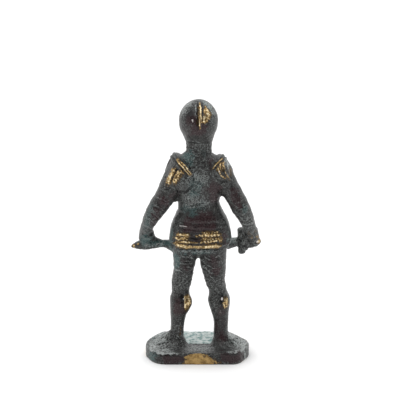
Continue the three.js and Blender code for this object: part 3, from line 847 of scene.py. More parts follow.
# %% Where each point shows in the photograph
PIXELS_PER_MM = 6.9
PHOTO_ORIGIN = np.array([197.3, 353.5])  # where the middle of the plinth's underside shows
ELEVATION = math.radians(23)
towards_camera = np.array([0, math.cos(ELEVATION), math.sin(ELEVATION)])


def in_photo(points):
    across = PHOTO_ORIGIN[0] - PIXELS_PER_MM * points[:, 0]
    up = points[:, 2] * math.cos(ELEVATION) - points[:, 1] * math.sin(ELEVATION)
    return np.column_stack([across, PHOTO_ORIGIN[1] - PIXELS_PER_MM * up])


def seen(points, normals, behind):
    """1 where a point faces the camera, and lies at least so many millimetres behind the plinth's middle."""
    return soft_step((normals @ towards_camera - 0.05) / 0.3) * soft_step((points[:, 1] - behind) / 0.3)


def near_line(pixels, line):
    """How many pixels each place lies from a line, and how far along it, from 0 to 1."""
    line = np.array(line, float)
    lengths = np.linalg.norm(np.diff(line, axis=0), axis=1)
    nearest, along_it, run = np.full(len(pixels), np.inf), np.zeros(len(pixels)), 0.0
    for start, end, length in zip(line, line[1:], lengths):
        t = np.clip((pixels - start) @ (end - start) / length**2, 0, 1)
        gap = np.linalg.norm(pixels - start - t[:, None] * (end - start), axis=1)
        along_it = np.where(gap < nearest, (run + t * length) / lengths.sum(), along_it)
        nearest = np.minimum(nearest, gap)
        run += length
    return nearest, along_it


def stroke(pixels, line, width):
    """1 on a line, fading over its width in pixels and towards its ends."""
    line = np.array(line, float)
    reach = 3 * width
    near = np.all((pixels > line.min(axis=0) - reach) & (pixels < line.max(axis=0) + reach), axis=1)
    gap, t = near_line(pixels[near], line)
    is_dot = np.linalg.norm(line[-1] - line[0]) < 1
    ends = 1 if is_dot else 0.4 + 0.6 * soft_step(np.minimum(t, 1 - t) / 0.15)
    value = np.zeros(len(pixels))
    value[near] = np.exp(-((gap / width) ** 2)) * ends
    return value


def dots(line, count):
    """Small marks spread evenly along a line."""
    line = np.array(line, float)
    return [[(x, y), (x + 0.3, y + 0.2)] for x, y in through(line, np.linspace(0, len(line) - 1, count))]


def beside(line, right, down):
    """The same line, moved by so many pixels."""
    return [(x + right, y + down) for x, y in line]


print(f"one pixel is {1 / PIXELS_PER_MM:.3f} mm")

# %% [markdown]
# ## Seeded noise
#
# Nothing on a hand-finished casting is quite even, so most of what follows is disturbed a little by noise.
# It is a lattice of random numbers with a fixed seed, read smoothly, so it is the same on every run.

# %% Noise
LATTICE = np.random.default_rng(7).uniform(-1, 1, (64, 64, 64))
OBLIQUE = np.array([[0.36, 0.48, -0.8], [-0.8, 0.6, 0], [0.48, 0.64, 0.6]])


def noise(points, size, shift=0.0):
    """Smooth noise from -1 to 1, its lumps about so many millimetres across, turned to hide its rows."""
    place = points @ OBLIQUE / size + shift
    cell = np.floor(place).astype(int)
    t = place - cell
    t = t * t * (3 - 2 * t)
    total = np.zeros(len(points))
    for corner in np.ndindex(2, 2, 2):
        weight = np.prod(np.where(corner, t, 1 - t), axis=1)
        i, j, k = ((cell + corner) % 64).T
        total += weight * LATTICE[i, j, k]
    return total


print(f"noise from a lattice of {LATTICE.size} numbers")

# %% [markdown]
# ## Carving
#
# A mark is a line, a width in pixels and a height in millimetres: raised if it is positive, cut if
# negative. Its last number says how far behind the plinth's middle it starts, so that a mark on the back
# stays off the arms in front. Displacing the points along their normals is the same as a sculptor's clay
# brush, and stays editable as plain numbers.

# %% Marks on the head and shoulders
COMB_LINE = [(199.7, 102.6), (200.6, 109), (200.8, 115), (199.9, 121), (199.3, 129)]
LEFT_BARS = [
    [(180.6, 161.2), (185, 165.5), (189, 170.8), (192.4, 175)],
    [(176, 159.5), (182.3, 166.6), (186.4, 171), (191, 176.4)],
]
LEFT_FLUTES = [
    [(174.5, 167.5), (171.8, 174), (168.8, 179), (167, 184.5)],
    [(180.4, 170.5), (177.6, 174.5), (174.8, 180), (174.4, 183.5)],
]
FLUTE_GAP = [(178, 168), (175.4, 172), (173, 177), (170.6, 181.5)]
LEFT_WING = [(193.5, 174.8), (193.5, 182.9), (190.5, 188.8), (185.4, 192), (180, 190.8), (174.6, 186)]
RIGHT_TRIANGLE = [(222.8, 157.5), (217, 163), (214, 166.8), (211.5, 170)]
RIGHT_RIDGE = [(223.5, 157.5), (224, 165), (225.2, 172), (228, 177), (231, 181)]
RIGHT_LUMPS = [(216.5, 166.5), (218.6, 170), (219.6, 173.2), (222, 176), (224.5, 177.5)]
RIGHT_WING = [(214, 174), (216.5, 179.5), (221, 182), (226, 181.5)]
NECK_EDGE = [(188.5, 140.5), (199, 142), (209, 140.5)]
BACK_EDGE = [(196, 168), (203, 169.5), (211, 168)]
SHOULDER_MARKS = [
    # comb, skull and neck
    (COMB_LINE, 0.8, 0.07, 0),
    ([(197.4, 102.5), (197.6, 129.5)], 0.8, -0.2, 0),
    ([(195.3, 103), (195.5, 121)], 0.7, 0.05, 0),
    ([(202.3, 104), (202.8, 115)], 0.8, -0.1, 0),
    ([(203.7, 117), (203.4, 122.5)], 1.1, 0.08, 0),
    *((dot, 0.8, 0.07, 0) for dot in dots([(205.6, 107), (208.4, 113), (206.6, 120.5)], 8)),
    ([(198.6, 130), (198.4, 137.5)], 0.8, 0.04, 0),
    (NECK_EDGE, 0.8, 0.08, 0),
    (beside(NECK_EDGE, 0, 2), 0.9, -0.07, 0),
    # left shoulder
    *((line, 0.65, 0.14, 0) for line in LEFT_BARS),
    (beside(LEFT_BARS[0], -1.1, 0.9), 0.6, -0.08, 0),
    (beside(LEFT_BARS[0], 1.7, -1.4), 0.7, -0.09, 0),
    (beside(LEFT_BARS[1], -1.5, 1.5), 0.8, -0.1, 0),
    *((line, 2.2, 0.18, 0) for line in LEFT_FLUTES),
    *((dot, 0.6, 0.07, 0) for line in LEFT_FLUTES for dot in dots(beside(line, -1.2, 0), 8)),
    *((dot, 0.6, 0.07, 0) for line in LEFT_FLUTES for dot in dots(beside(line, 1.6, 1), 9)),
    ([(176.5, 169), (172.8, 174.5), (170, 181)], 0.5, -0.08, 0),
    ([(181.5, 173), (178, 177.5), (176.5, 182)], 0.5, -0.08, 0),
    (FLUTE_GAP, 1.0, -0.22, 0),
    ([(166, 172), (164.5, 178)], 1.2, -0.1, 0),
    (LEFT_WING, 1.1, -0.18, 0),
    (beside(LEFT_WING, -1.2, 2.4), 1.1, 0.07, 0),
    # right shoulder
    (RIGHT_TRIANGLE, 0.55, 0.1, 0),
    (beside(RIGHT_TRIANGLE, 0.9, 1.6), 0.7, -0.12, 0),
    (RIGHT_RIDGE, 0.55, 0.12, 0),
    (beside(RIGHT_RIDGE, 1.8, -0.6), 0.8, -0.08, 0),
    *((dot, 0.75, 0.17, 0) for dot in dots(RIGHT_LUMPS, 7)),
    ([(221.4, 161), (222, 170)], 0.8, -0.1, 0),
    (RIGHT_WING, 1.2, -0.18, 0),
    (beside(RIGHT_WING, 0, 2.2), 0.8, 0.07, 0),
    # upper edge of the backplate
    (BACK_EDGE, 0.9, 0.04, 0),
    (beside(BACK_EDGE, 0, -1.8), 0.9, -0.05, 0),
]
print(f"{len(SHOULDER_MARKS)} marks on the head and shoulders")

# %% Marks on the skirt
HEM = [(175.5, 246.3), (188, 247), (205, 247.2), (221.5, 246.3)]
LAMES = [
    [(175, 234), (182, 234.6), (199, 235.8), (213, 235.2), (221, 234)],
    [(174.5, 241), (182, 241.9), (200, 242.6), (214, 241.2), (221.5, 240)],
    [(178, 225), (186, 226.6), (199, 228), (214, 227.6), (224, 226)],
    [(180, 218.5), (190, 221), (203, 221.5), (216, 220.5)],
]
WAIST_EDGE = [(179, 212), (190, 207), (203, 205), (212, 200)]
BEAD_ROWS = [[(196.5, 236), (207, 235.4), (217.5, 234.6)], [(201, 242), (209, 241.2), (216.5, 240.5)]]
even_beads = [dot for row, count in zip(BEAD_ROWS, (8, 6)) for dot in dots(row, count)]
bead_shifts = np.random.default_rng(5).uniform(-0.4, 0.4, (len(even_beads), 2))
BEADS = [beside(dot, *shift) for dot, shift in zip(even_beads, bead_shifts)]
SKIRT_MARKS = [
    # hem and the edges of the plates
    (HEM, 1.3, 0.04, 0),
    ([(204, 247), (220, 246.3)], 1.2, 0.07, 0),
    (beside(HEM, 0, -2.6), 0.7, -0.05, 0),
    (beside(HEM, 0, 2.6), 0.7, -0.1, 0),
    *((line, 0.9, height, 0) for line, height in zip(LAMES, (0.06, 0.05, 0.08, 0.06))),
    *((beside(line, 0, 2.4), 1.1, depth, 0) for line, depth in zip(LAMES, (-0.05, -0.03, -0.05, -0.05))),
    (beside(LAMES[0], 0, -2.4), 1.1, -0.05, 0),
    # rows of beads
    *((dot, 0.9, 0.15, 0) for dot in BEADS),
    *((line, 0.9, 0.05, 0) for line in ([(175.5, 233.8), (189, 235)], [(182, 241.3), (190, 242)])),
    *((dot, 0.6, 0.08, 0) for dot in dots([(202, 232.4), (209, 233), (217.5, 231.8)], 7)),
    *((dot, 0.6, 0.08, 0) for dot in dots([(203, 238.2), (210, 239), (218, 237.8)], 7)),
    *((dot, 0.7, 0.12, 0) for dot in dots([(176, 237.5), (179.5, 239.3), (184, 237.4)], 6)),
    # sides and waist
    ([(174.2, 227), (173.8, 247)], 0.9, -0.1, -2),
    ([(173.8, 218.6), (178.5, 214.3)], 0.8, 0.08, -2),
    (WAIST_EDGE, 1.0, 0.08, 0),
    (beside(WAIST_EDGE, 0, 2.2), 1.0, -0.05, 0),
    ([(231, 240.5), (226.5, 248)], 0.8, 0.1, -9),
]
print(f"{len(SKIRT_MARKS)} marks on the skirt")

# %% Marks on the arms and hands
LEFT_ARM_EDGES = [
    [(156, 197), (163, 199), (168.5, 203)],
    [(153, 204), (160, 207), (165, 211)],
    [(150, 211), (156, 214.5), (160.5, 218.5)],
    [(147, 217.5), (152, 220.5), (155.5, 224)],
    [(144.5, 225), (149, 226.5), (153, 229.5)],
]
RIGHT_ARM_EDGES = [
    [(231.5, 199), (236, 203.5), (243.5, 199.5)],
    [(234, 205.5), (239, 209.5), (246.5, 206)],
    [(237, 211.5), (242.5, 215), (249, 211)],
    [(239.5, 217), (245, 220), (251.5, 216.5)],
    [(241.5, 222.5), (247, 224.5), (253.5, 222)],
]
HAND_LINES = [[(139, 241), (150, 243.5), (163, 243.2)], [(143, 236), (147, 238.5), (152, 238)]]
ARM_MARKS = [
    *((line, 0.7, 0.06, -2) for line in LEFT_ARM_EDGES + RIGHT_ARM_EDGES),
    *((beside(line, 0, 1.8), 0.7, -0.05, -2) for line in LEFT_ARM_EDGES + RIGHT_ARM_EDGES),
    *((line, 0.8, 0.09, -9) for line in HAND_LINES),
]
print(f"{len(ARM_MARKS)} marks on the arms")

# %% Marks on the legs and feet
THIGH_FOLDS = [
    [(182, 256), (188, 256.4), (193, 257.6)],
    [(184.5, 261.2), (190, 260.7)],
    [(179.5, 263.5), (185, 263.8), (190.5, 263.3)],
    [(184.5, 266.6), (190.5, 266.6)],
    [(175.5, 269.6), (179, 270.4), (182.5, 271.6)],
    [(200.8, 258.8), (204, 262), (208, 265), (212, 267.4), (217, 268.6)],
    [(205, 256.5), (209, 259), (213, 260.5)],
    [(207.5, 270.4), (210.5, 272.4), (215.5, 273.4)],
    [(215.5, 257.4), (219.6, 255.4)],
    [(216, 261.2), (219.5, 261)],
    [(203, 266), (206, 268.8), (208.5, 270)],
    [(210.5, 276), (213, 278.5)],
]
CALF_RIDGES = [
    [(185.6, 296), (184.9, 301), (184.7, 306), (185, 310)],
    [(223.2, 302), (223.8, 305), (225, 308.5)],
]
FOOT_CREASES = [
    [(156.5, 342.6), (160.5, 341), (163.6, 337.4)],
    [(162.3, 348.4), (165.5, 348), (167.5, 346.4)],
    [(155, 345.6), (160, 345.2), (165, 343.5)],
    [(231.2, 334.6), (235.4, 338.2), (239, 339.2)],
    [(234.5, 340.5), (237.5, 344), (235.5, 348)],
]
RIM_LINES = [
    [(148.2, 348.6), (152, 351.6), (157, 353.6), (178, 354)],
    [(226, 353), (239, 351.4), (248, 347.6)],
]
LEG_MARKS = [
    # thighs and calves
    *((line, 0.65, 0.14, 0) for line in THIGH_FOLDS),
    *((beside(line, 0, 1.7), 0.7, -0.08, 0) for line in THIGH_FOLDS),
    *((line, 0.9, 0.15, 0) for line in CALF_RIDGES),
    ([(182.3, 294), (182.2, 299), (182.8, 304)], 1.4, -0.16, 0),
    ([(221, 295.5), (221.3, 300), (222, 304)], 1.2, -0.12, 0),
    # feet, and the rim of the plinth
    *((line, 0.8, -0.12, -9) for line in FOOT_CREASES),
    *((beside(line, -0.3, 1.9), 0.9, 0.06, -9) for line in FOOT_CREASES),
    ([(229.4, 333.5), (231.8, 339.3)], 0.9, 0.07, -9),
    ([(187, 344.4), (199, 344.8), (211, 344.4)], 0.8, -0.07, -9),
    *((line, 0.8, 0.06, -9) for line in RIM_LINES),
    *((beside(line, 0.2, 1.7), 0.7, -0.06, -9) for line in RIM_LINES),
]
MARKS = SHOULDER_MARKS + SKIRT_MARKS + ARM_MARKS + LEG_MARKS
print(f"{len(LEG_MARKS)} marks on the legs, {len(MARKS)} in all")


# %% Carve the marks
def carved(points, normals):
    """How far the marks raise or sink each point, in millimetres. None is quite even along its length."""
    pixels = in_photo(points) + 0.5 * np.column_stack([noise(points, 0.6, k) for k in (2.2, 4.8)])
    total = np.zeros(len(points))
    for line, width, height, behind in MARKS:
        total += height * stroke(pixels, line, width) * seen(points, normals, behind)
    return total * (1 + 0.6 * noise(points, 0.3, 6.6))


# %% [markdown]
# ## The visor's slits
#
# The front doesn't show in the photograph, so it is plainer, but a visor needs a slit to see through and
# holes to breathe through. They are cut by pushing the points of the visor straight back. Cutting them with
# a boolean would need a closed tool for each slit, and would leave sharper edges than a casting has.

# %% Cut the visor
SIGHT_SLIT, BREATH_SLIT, SLIT_DEPTH, SLIT_EDGE = 0.26, 0.22, 0.34, 0.05
SIGHT_PLACE, SIGHT_REACH = (0.1, 92.4), 4.8
BREATH_PLACES, BREATH_REACH = [(x, 87.6) for x in (-3.8, -2.2, 2.2, 3.8)], 1.4


def slits(points, normals):
    """How far each point of the visor is pushed back, in millimetres."""
    x, y, z = ((points - FIGURE_PLACE) / SHARE).T
    facing = soft_step((-normals[:, 1] - 0.2) / 0.3) * (z > 84)

    def slot(across, along_it, half_width, reach):
        edge = SLIT_EDGE / SHARE
        within = soft_step((half_width - np.abs(across)) / edge + 0.5)
        return within * soft_step((reach - np.abs(along_it)) / edge + 0.5)

    cut = slot(z - SIGHT_PLACE[1], x - SIGHT_PLACE[0], SIGHT_SLIT / 2 / SHARE, SIGHT_REACH)
    for slit_x, slit_z in BREATH_PLACES:
        cut = np.maximum(cut, slot(x - slit_x, z - slit_z, BREATH_SLIT / 2 / SHARE, BREATH_REACH))
    return SLIT_DEPTH * cut * facing


# %% [markdown]
# ## The skin of a casting
#
# Sand and old moulds leave a grain that no polishing removes. It is real relief here: lumps about a quarter
# of a millimetre across, rougher in the mail of the neck and behind the knees, on the ground of the plinth
# and in the hands. Much finer pitting is left to the material, because it would need millions of triangles.

# %% Grain
def blob(values, centre, half):
    """1 where the values are at a centre, fading to either side."""
    return np.exp(-(((values - centre) / half) ** 2))


def roughness_of(points):
    """How coarse the casting is at each point: 1 all over, more where there is mail or rough ground."""
    x, y, z = ((points - FIGURE_PLACE) / SHARE).T
    neck = blob(z, 80, 3.2) * (np.abs(x) < 7)
    knees = blob(z, 25.5, 5.5) * (y > -1) * (np.abs(x) < 14)
    hands = blob(np.abs(x), 19.8, 4) * blob(z, 39, 5)
    ground = soft_step((1.5 - z) / 1.5) * soft_step((z + 4) / 1.5)
    return 0.55 + 1.5 * neck + 1.1 * knees + 0.9 * hands + 0.9 * ground


def grain(points):
    """The casting's own grain, the rows of the mail and the coarser lumps of the hilt, in millimetres."""
    stirred = points + 0.12 * np.column_stack([noise(points, 0.45, k) for k in (3.7, 8.3, 12.9)])
    lumps = 0.7 * noise(stirred, 0.26) + 0.6 * noise(stirred, 0.17, 11.3) + 0.4 * noise(points, 0.8, 5.7)
    x, y, z = ((points - FIGURE_PLACE) / SHARE).T
    mail = blob(z, 80.5, 3) * (np.abs(x) < 7) + blob(z, 25.5, 5) * (np.abs(x) < 14)
    rows = noise(points * (1, 1, 1.9), 0.3, 4.4)
    hilt = blob(x, -18.8, 5) * blob(z, 39.5, 6) * (y < 1)
    return 0.036 * roughness_of(points) * lumps + 0.07 * mail * rows + 0.09 * hilt * noise(stirred, 0.3, 2.9)


normals = read_normals(skin)
raised = carved(points, normals) + grain(points)
points = points + normals * raised[:, None]
points[:, 1] += slits(points, normals)
points[:, 2] = np.where(points[:, 2] < 0.06, 0, points[:, 2])
write_points(skin, points)
print(f"carved from {raised.min():.2f} to {raised.max():.2f} mm")

# %% [markdown]
# ## Fewer triangles, same shape
#
# The fused skin has far more points than it needs on the flat of the plinth and the length of the blade.
# Collapsing edges where the surface hardly turns brings the piece under 200,000 triangles and keeps the
# relief.

# %% Thin the mesh
TRIANGLES = 196000
knight = bpy.data.objects.new("cast_knight", skin)
bpy.context.scene.collection.objects.link(knight)
thin = knight.modifiers.new("Thin", "DECIMATE")
thin.ratio = TRIANGLES / (2 * len(skin.polygons))
thinned = bpy.data.meshes.new_from_object(knight.evaluated_get(bpy.context.evaluated_depsgraph_get()))
knight.modifiers.clear()
knight.data = thinned
thinned.name = "cast_knight"
points, normals = read_points(thinned), read_normals(thinned)
pairs = read(thinned, ("edges", "vertices"), 2, np.int32)
print(f"{len(thinned.polygons)} faces, {len(points)} points")

# %% [markdown]
# ## Where hands have rubbed it, and the painted highlights
#
# The patina goes first where a finger slides: the comb, the rolled edges of the shoulders, the hem, the
# calves, the pommel and the point. Each spot is a line of pixels again, now with a strength from 0 to 1 as
# its third number. Within a spot only what stands proud is bare, and the material sees to that. A glint is
# a painted highlight: a tiny place that shines white in the photograph, painted near-white into the colour.

# %% Worn spots and painted highlights
RUBBED_LINES = [
    # helmet
    (COMB_LINE, 0.8, 1.0, 0),
    ([(198.6, 104), (198.4, 127)], 1.6, 0.7, 0),
    ([(205.6, 108), (206.6, 113), (207.6, 118)], 2.6, 0.86, 0),
    ([(207.8, 111), (209, 115.5), (207, 120)], 2.4, 0.76, 0),
    ([(204.2, 116), (203.9, 124)], 2.6, 1.0, 0),
    ([(203.5, 123.5), (208, 119.5)], 1.8, 0.8, 0),
    # left shoulder
    *((line, 0.8, 0.75, 0) for line in LEFT_BARS),
    *((line[1:3], 0.7, 0.95, 0) for line in LEFT_BARS),
    ([(178, 161.5), (185, 169), (190.5, 175)], 2.6, 0.64, 0),
    ([(176.5, 158.5), (180.5, 160)], 2.2, 0.58, 0),
    *((beside(line, 0.6, 0.5), 3.6, 0.76, 0) for line in LEFT_FLUTES),
    ([(183, 171.5), (181, 177)], 2.6, 0.6, 0),
    # right shoulder
    (RIGHT_TRIANGLE, 0.8, 0.48, 0),
    (RIGHT_RIDGE, 0.7, 0.54, 0),
    ([(220.6, 161), (221.6, 171)], 3.4, 0.62, 0),
    (RIGHT_LUMPS, 1.2, 0.8, 0),
    ([(225.5, 175), (230.5, 180.5)], 1.4, 0.5, -9),
    ([(229.5, 168), (231.5, 177)], 1.8, 0.38, -9),
    # skirt
    (HEM, 2.2, 0.5, 1),
    ([(205, 246.6), (220, 246)], 2.2, 0.88, 1),
    ([(206, 246.4), (218, 246)], 1.4, 1.0, 1),
    ([(176, 246), (194, 247)], 2.6, 0.6, 1),
    ([(175.5, 233.5), (182, 234.3), (188.8, 235)], 2.3, 0.72, 1),
    ([(186, 234.6), (188.6, 235)], 1.1, 1.0, 1),
    ([(173.5, 237), (190, 238)], 3.2, 0.76, 1),
    ([(173.5, 243), (192, 244)], 2.8, 0.72, 1),
    ([(182, 238.5), (185, 240)], 3.4, 0.66, 1),
    ([(180, 242), (190, 242.2)], 1.7, 0.7, 1),
    ([(187, 241.8), (189.5, 241.8)], 1.0, 1.0, 1),
    ([(188, 242.4), (204, 242.6)], 1.1, 0.5, 1),
    ([(195, 236), (202, 236)], 1.4, 0.5, 1),
    ([(201, 234), (221, 233.6)], 3.2, 0.7, 1),
    *((dot, 1.0, 0.95, 1) for dot in BEADS),
    ([(201, 242), (218.5, 241)], 2.2, 0.64, 1),
    ([(200, 238.8), (221, 238.6)], 3.6, 0.74, 1),
    ([(201, 244.4), (219, 243.8)], 1.8, 0.7, 1),
    ([(219.5, 234), (221, 245)], 2.6, 0.6, 1),
    # calves
    (CALF_RIDGES[0], 1.0, 1.0, 0),
    ([(187.4, 295), (188.8, 300.5), (187.4, 305), (185.4, 310)], 3.2, 0.72, 0),
    (CALF_RIDGES[1], 0.9, 0.95, 0),
    ([(225.4, 297.5), (226.2, 303), (225.6, 309)], 2.6, 0.7, 0),
    ([(180.5, 326), (180, 337)], 1.4, 0.3, 0),
    # point, left hand, pommel and right hand
    ([(132.3, 246), (134.5, 244.8)], 1.9, 0.8, -9),
    ([(137, 243), (139.5, 245.5)], 1.9, 0.5, -9),
    ([(258.6, 239.5), (258.4, 243)], 1.7, 0.85, -9),
    ([(256.5, 235.5), (258.6, 237.5)], 1.5, 0.6, -9),
    ([(255, 229), (256, 234)], 2.0, 0.26, -9),
    ([(247, 232), (254, 238)], 4, 0.24, -9),
]
# Painted highlights: near-white spots where glints of light fall on helmet, skirt, calves, pommel and
# shoulder.
PAINTED_HIGHLIGHTS = [
    ([(191.8, 119.6), (193, 122.6)], 1.1, 0.62, 0),
    ([(178.8, 225.2), (183, 225.9), (188, 226.8)], 0.5, 0.62, 0),
    ([(222, 298.7), (221.9, 299.6)], 1.0, 1.0, 0),
    ([(183.3, 298.6), (183.3, 299.6)], 0.7, 0.8, 0),
    ([(221, 309.5), (220, 314)], 0.6, 0.5, 0),
    ([(257.8, 240.4), (258, 242.4)], 1.2, 0.8, -9),
    ([(218.8, 170), (219.4, 172.6)], 0.8, 0.6, 0),
]
print(f"{len(RUBBED_LINES)} rubbed lines, {len(PAINTED_HIGHLIGHTS)} glints")

# %% [markdown]
# ## Green, brown, dust, painted sheen and painted shade
#
# The rest of the finish lies in soft patches too. Verdigris, the green salt of copper, grows where damp
# stays, as in the fold of a shoulder or between fingers. Brown is where oil has soaked in, and pale dust lies
# on ledges. The same pale patches paint sheen along the helmet's upper rims, the plinth's rims, the right
# shoulder's outer edge and the right foot, and painted shade turns the deepest hollows and creases
# near-black.
# A painted image would need the mesh unwrapped first. Soft lines that are read at each point need no
# unwrapping, and a patch is moved by changing a number.

# %% Clouds, dust, painted sheen and painted shade
VERDIGRIS_LINES = [
    ([(204, 102), (209, 106), (212.5, 113)], 3, 0.8, -9),
    ([(199, 200), (203, 210)], 8, 0.5, 0),
    ([(181, 154.5), (188, 157), (193, 154)], 5, 1.0, -9),
    ([(184, 160), (194, 164)], 3.5, 0.8, -9),
    ([(190, 180), (205, 186)], 9, 0.55, 0),
    ([(196, 189), (190, 198)], 7, 0.75, 0),
    ([(182, 206), (196, 214)], 7, 0.65, 0),
    ([(153, 200), (147, 216), (145, 232)], 5, 0.55, -9),
    ([(141, 238), (152, 242)], 7, 1.0, -9),
    ([(150, 242), (172, 244)], 4, 1.0, -9),
    ([(171, 226), (170.5, 240), (172.5, 252)], 2.4, 1.0, -3),
    ([(177, 251), (216, 251.4)], 2.2, 0.9, -9),
    ([(176, 252), (176, 270)], 3, 1.0, -9),
    ([(229, 236), (237, 242)], 5, 1.0, -9),
    ([(243, 205), (247, 216)], 3, 0.7, -9),
    ([(149, 352), (155, 359)], 5, 1.0, -9),
    ([(150, 342), (157, 335), (166, 333)], 3.5, 0.9, -9),
    ([(232, 343), (236, 346)], 2.5, 0.5, -9),
    ([(200, 148), (206, 156)], 4, 0.4, -9),
]
BROWN_LINES = [
    ([(190, 112), (192, 124)], 7, 1.0, 0),
    ([(191, 128), (208, 131)], 9, 1.0, 0),
    ([(166, 196), (158, 210), (155, 221)], 6, 0.85, -9),
    ([(176, 192), (170, 197)], 4, 0.7, -9),
    ([(213, 160), (209, 168)], 4, 0.8, 0),
    ([(214, 184), (213, 202)], 7, 1.0, 0),
    ([(231, 186), (240, 210)], 6, 0.8, -9),
    ([(182, 219), (216, 216)], 7, 1.0, 0),
    ([(181, 229), (218, 228)], 6, 1.0, 0),
    ([(188, 238), (201, 238.5)], 3.5, 1.0, 0),
    ([(224, 232), (226, 246)], 4, 0.9, 0),
    ([(186, 258), (186, 272)], 5, 0.8, -9),
    ([(212, 256), (217, 276)], 6, 0.8, -9),
    ([(178, 297), (178, 316)], 6, 1.0, -9),
    ([(178, 320), (178, 348)], 6, 0.4, -9),
    ([(222, 304), (221, 345)], 5, 0.7, -9),
    ([(160, 359.5), (184, 361)], 6, 1.0, -9),
    ([(218, 358), (242, 358)], 6, 1.0, -9),
    ([(214, 320), (218, 345)], 4, 0.7, -9),
]
# Pale dust, and painted sheen and highlights along some rims and slopes, as marked below.
DUST_AND_SHEEN_LINES = [
    # painted sheen along the helmet's upper rims
    ([(182.5, 116), (185, 109), (191, 102.5)], 3.4, 0.6, -9),
    ([(204, 101.5), (210, 106), (213.5, 116)], 2.8, 0.5, -9),
    ([(195.4, 104), (195.6, 118)], 0.9, 0.9, 0),
    ([(188, 172), (200, 178), (206, 184)], 8, 0.3, 0),
    ([(184, 200), (212, 203)], 8, 0.3, 0),
    *((line, 0.7, 0.6, -9) for line in THIGH_FOLDS),
    *((line, 0.6, 0.35, -9) for line in LEFT_ARM_EDGES + RIGHT_ARM_EDGES),
    ([(246, 230), (251, 242)], 7, 0.1, -9),
    # painted light over the guard, which lies in shade
    ([(240, 230), (242, 250)], 3, 0.35, -9),
    ([(178, 322), (178, 346)], 5, 0.25, -9),
    ([(187, 145), (211, 145)], 4, 0.12, -9),
    ([(180, 274), (181, 290)], 9, 0.1, -9),
    ([(214, 276), (217, 292)], 9, 0.1, -9),
    ([(144, 246.5), (158, 245.5), (164, 243.5)], 1.0, 0.6, -9),
    ([(178, 251), (218, 251)], 1.6, 0.5, -9),
    ([(229, 238), (237, 240)], 4, 0.7, -9),
    ([(231, 240.5), (226.5, 248)], 0.8, 0.9, -9),
    ([(149, 349.5), (157, 344.5), (167, 342)], 6, 0.85, -9),
    ([(153, 338), (160, 334.5), (167, 332.5)], 3.5, 0.8, -9),
    ([(157, 351.4), (160, 351.6)], 1.6, 1.0, -9),
    ([(150.8, 345.2), (151.2, 346)], 1.1, 1.0, -9),
    ([(161, 350), (172, 352)], 3, 0.8, -9),
    # painted reflection on the right foot's upturned slopes
    ([(229.2, 332.5), (231.8, 338.5)], 2, 1.0, -9),
    ([(231, 334), (234, 340)], 4, 1.0, -9),
    ([(234, 341), (240, 344.5), (247.5, 345)], 6, 1.0, -9),
    ([(186, 348.8), (212, 348.8)], 3, 0.45, -9),
    # painted highlights along the plinth's rims
    *((line, 1.0, 1.0, -9) for line in RIM_LINES),
    ([(244.6, 351), (245, 360)], 1.4, 0.8, -9),
    # painted sheen on the right shoulder's outer edge
    ([(225.5, 157), (228.8, 167)], 1.8, 0.9, -9),
]
# Painted shade: near-black at the helmet's left, in the deepest grooves and creases, and under the plinth's
# rims.
PAINTED_SHADE_LINES = [
    ([(189.5, 111), (191, 117)], 7, 1.0, 0),
    ([(197.2, 103), (197.4, 128)], 0.8, 0.9, 0),
    ([(189, 238), (199, 238.4)], 2.8, 1.0, 0),
    ([(181.6, 294), (181.8, 302)], 2.4, 1.0, 0),
    ([(221, 294), (221.6, 303)], 2.0, 0.9, 0),
    ([(182, 243.4), (201, 244.4)], 0.7, 0.6, 0),
    (FLUTE_GAP, 1.1, 0.9, 0),
    ([(150, 351.6), (158, 356), (182, 356.2)], 1.1, 0.7, -9),
    ([(222, 355), (240, 353.6)], 1.1, 0.6, -9),
]
counts = [len(lines) for lines in (VERDIGRIS_LINES, BROWN_LINES, DUST_AND_SHEEN_LINES, PAINTED_SHADE_LINES)]
print("green, brown, dusty and dark lines:", counts)

# %% [markdown]
# ## Masks on the mesh
#
# Each kind of patch becomes one number at each point of the mesh, kept as an attribute that a material can
# read. Noise moves the pixels before the lines are read, so that no patch has a smooth edge. How far a
# point stands proud is its height above a smoothed copy of the mesh. The front has no photograph to follow,
# so there a rule rubs whatever stands well out, and noise puts the green and the brown.

# %% Ways to find a mask
def painted(lines, ragged):
    """The strongest of several soft lines at each point, their edges ragged by so many pixels."""
    shift = [noise(points, 0.45, k) + 0.6 * noise(points, 0.2, k + 9) for k in (1.3, 7.9)]
    pixels, most = in_photo(points) + ragged * np.column_stack(shift), np.zeros(len(points))
    for line, width, strength, behind in lines:
        reach = stroke(pixels, line, width) * seen(points, normals, behind)
        most = np.maximum(most, strength * reach)
    return np.clip(most, 0, 1)


def standing_proud(rounds, full):
    """From -1 in a hollow to 1 on a ridge that stands so many millimetres above its surroundings."""
    around = points
    for _ in range(rounds):
        around = 0.5 * around + 0.5 * neighbour_mean(around, pairs)
    return np.clip(np.sum((points - around) * normals, axis=1) / full, -1, 1)


# Pixels where the two sides of the bare patch on the wall begin to slant, and the middle of the bloom
PATCH_LEFT, PATCH_RIGHT = (184, 357), (215, 361)
BLOOM_MIDDLE, BLOOM_SPREAD = 199, 24


def patch_on_wall():
    """The bare patch on the plinth's back wall, widest at the foot and ragged at its edges."""
    x, y = in_photo(points).T
    ragged = 1.6 * noise(points, 0.5, 3.1) + 1.2 * noise(points, 0.22, 8.1)
    left = PATCH_LEFT[0] + np.clip(PATCH_LEFT[1] - y, 0, 9) * 3
    right = PATCH_RIGHT[0] - np.clip(PATCH_RIGHT[1] - y, 0, 9) * 1.25
    inside = np.minimum(x - left, 0.5 * (right - x) + ragged) + ragged
    wall = soft_step((normals[:, 1] - 0.4) / 0.3) * (points[:, 1] > half_depth - 0.6)
    return wall * soft_step(inside / 9 + 0.42)


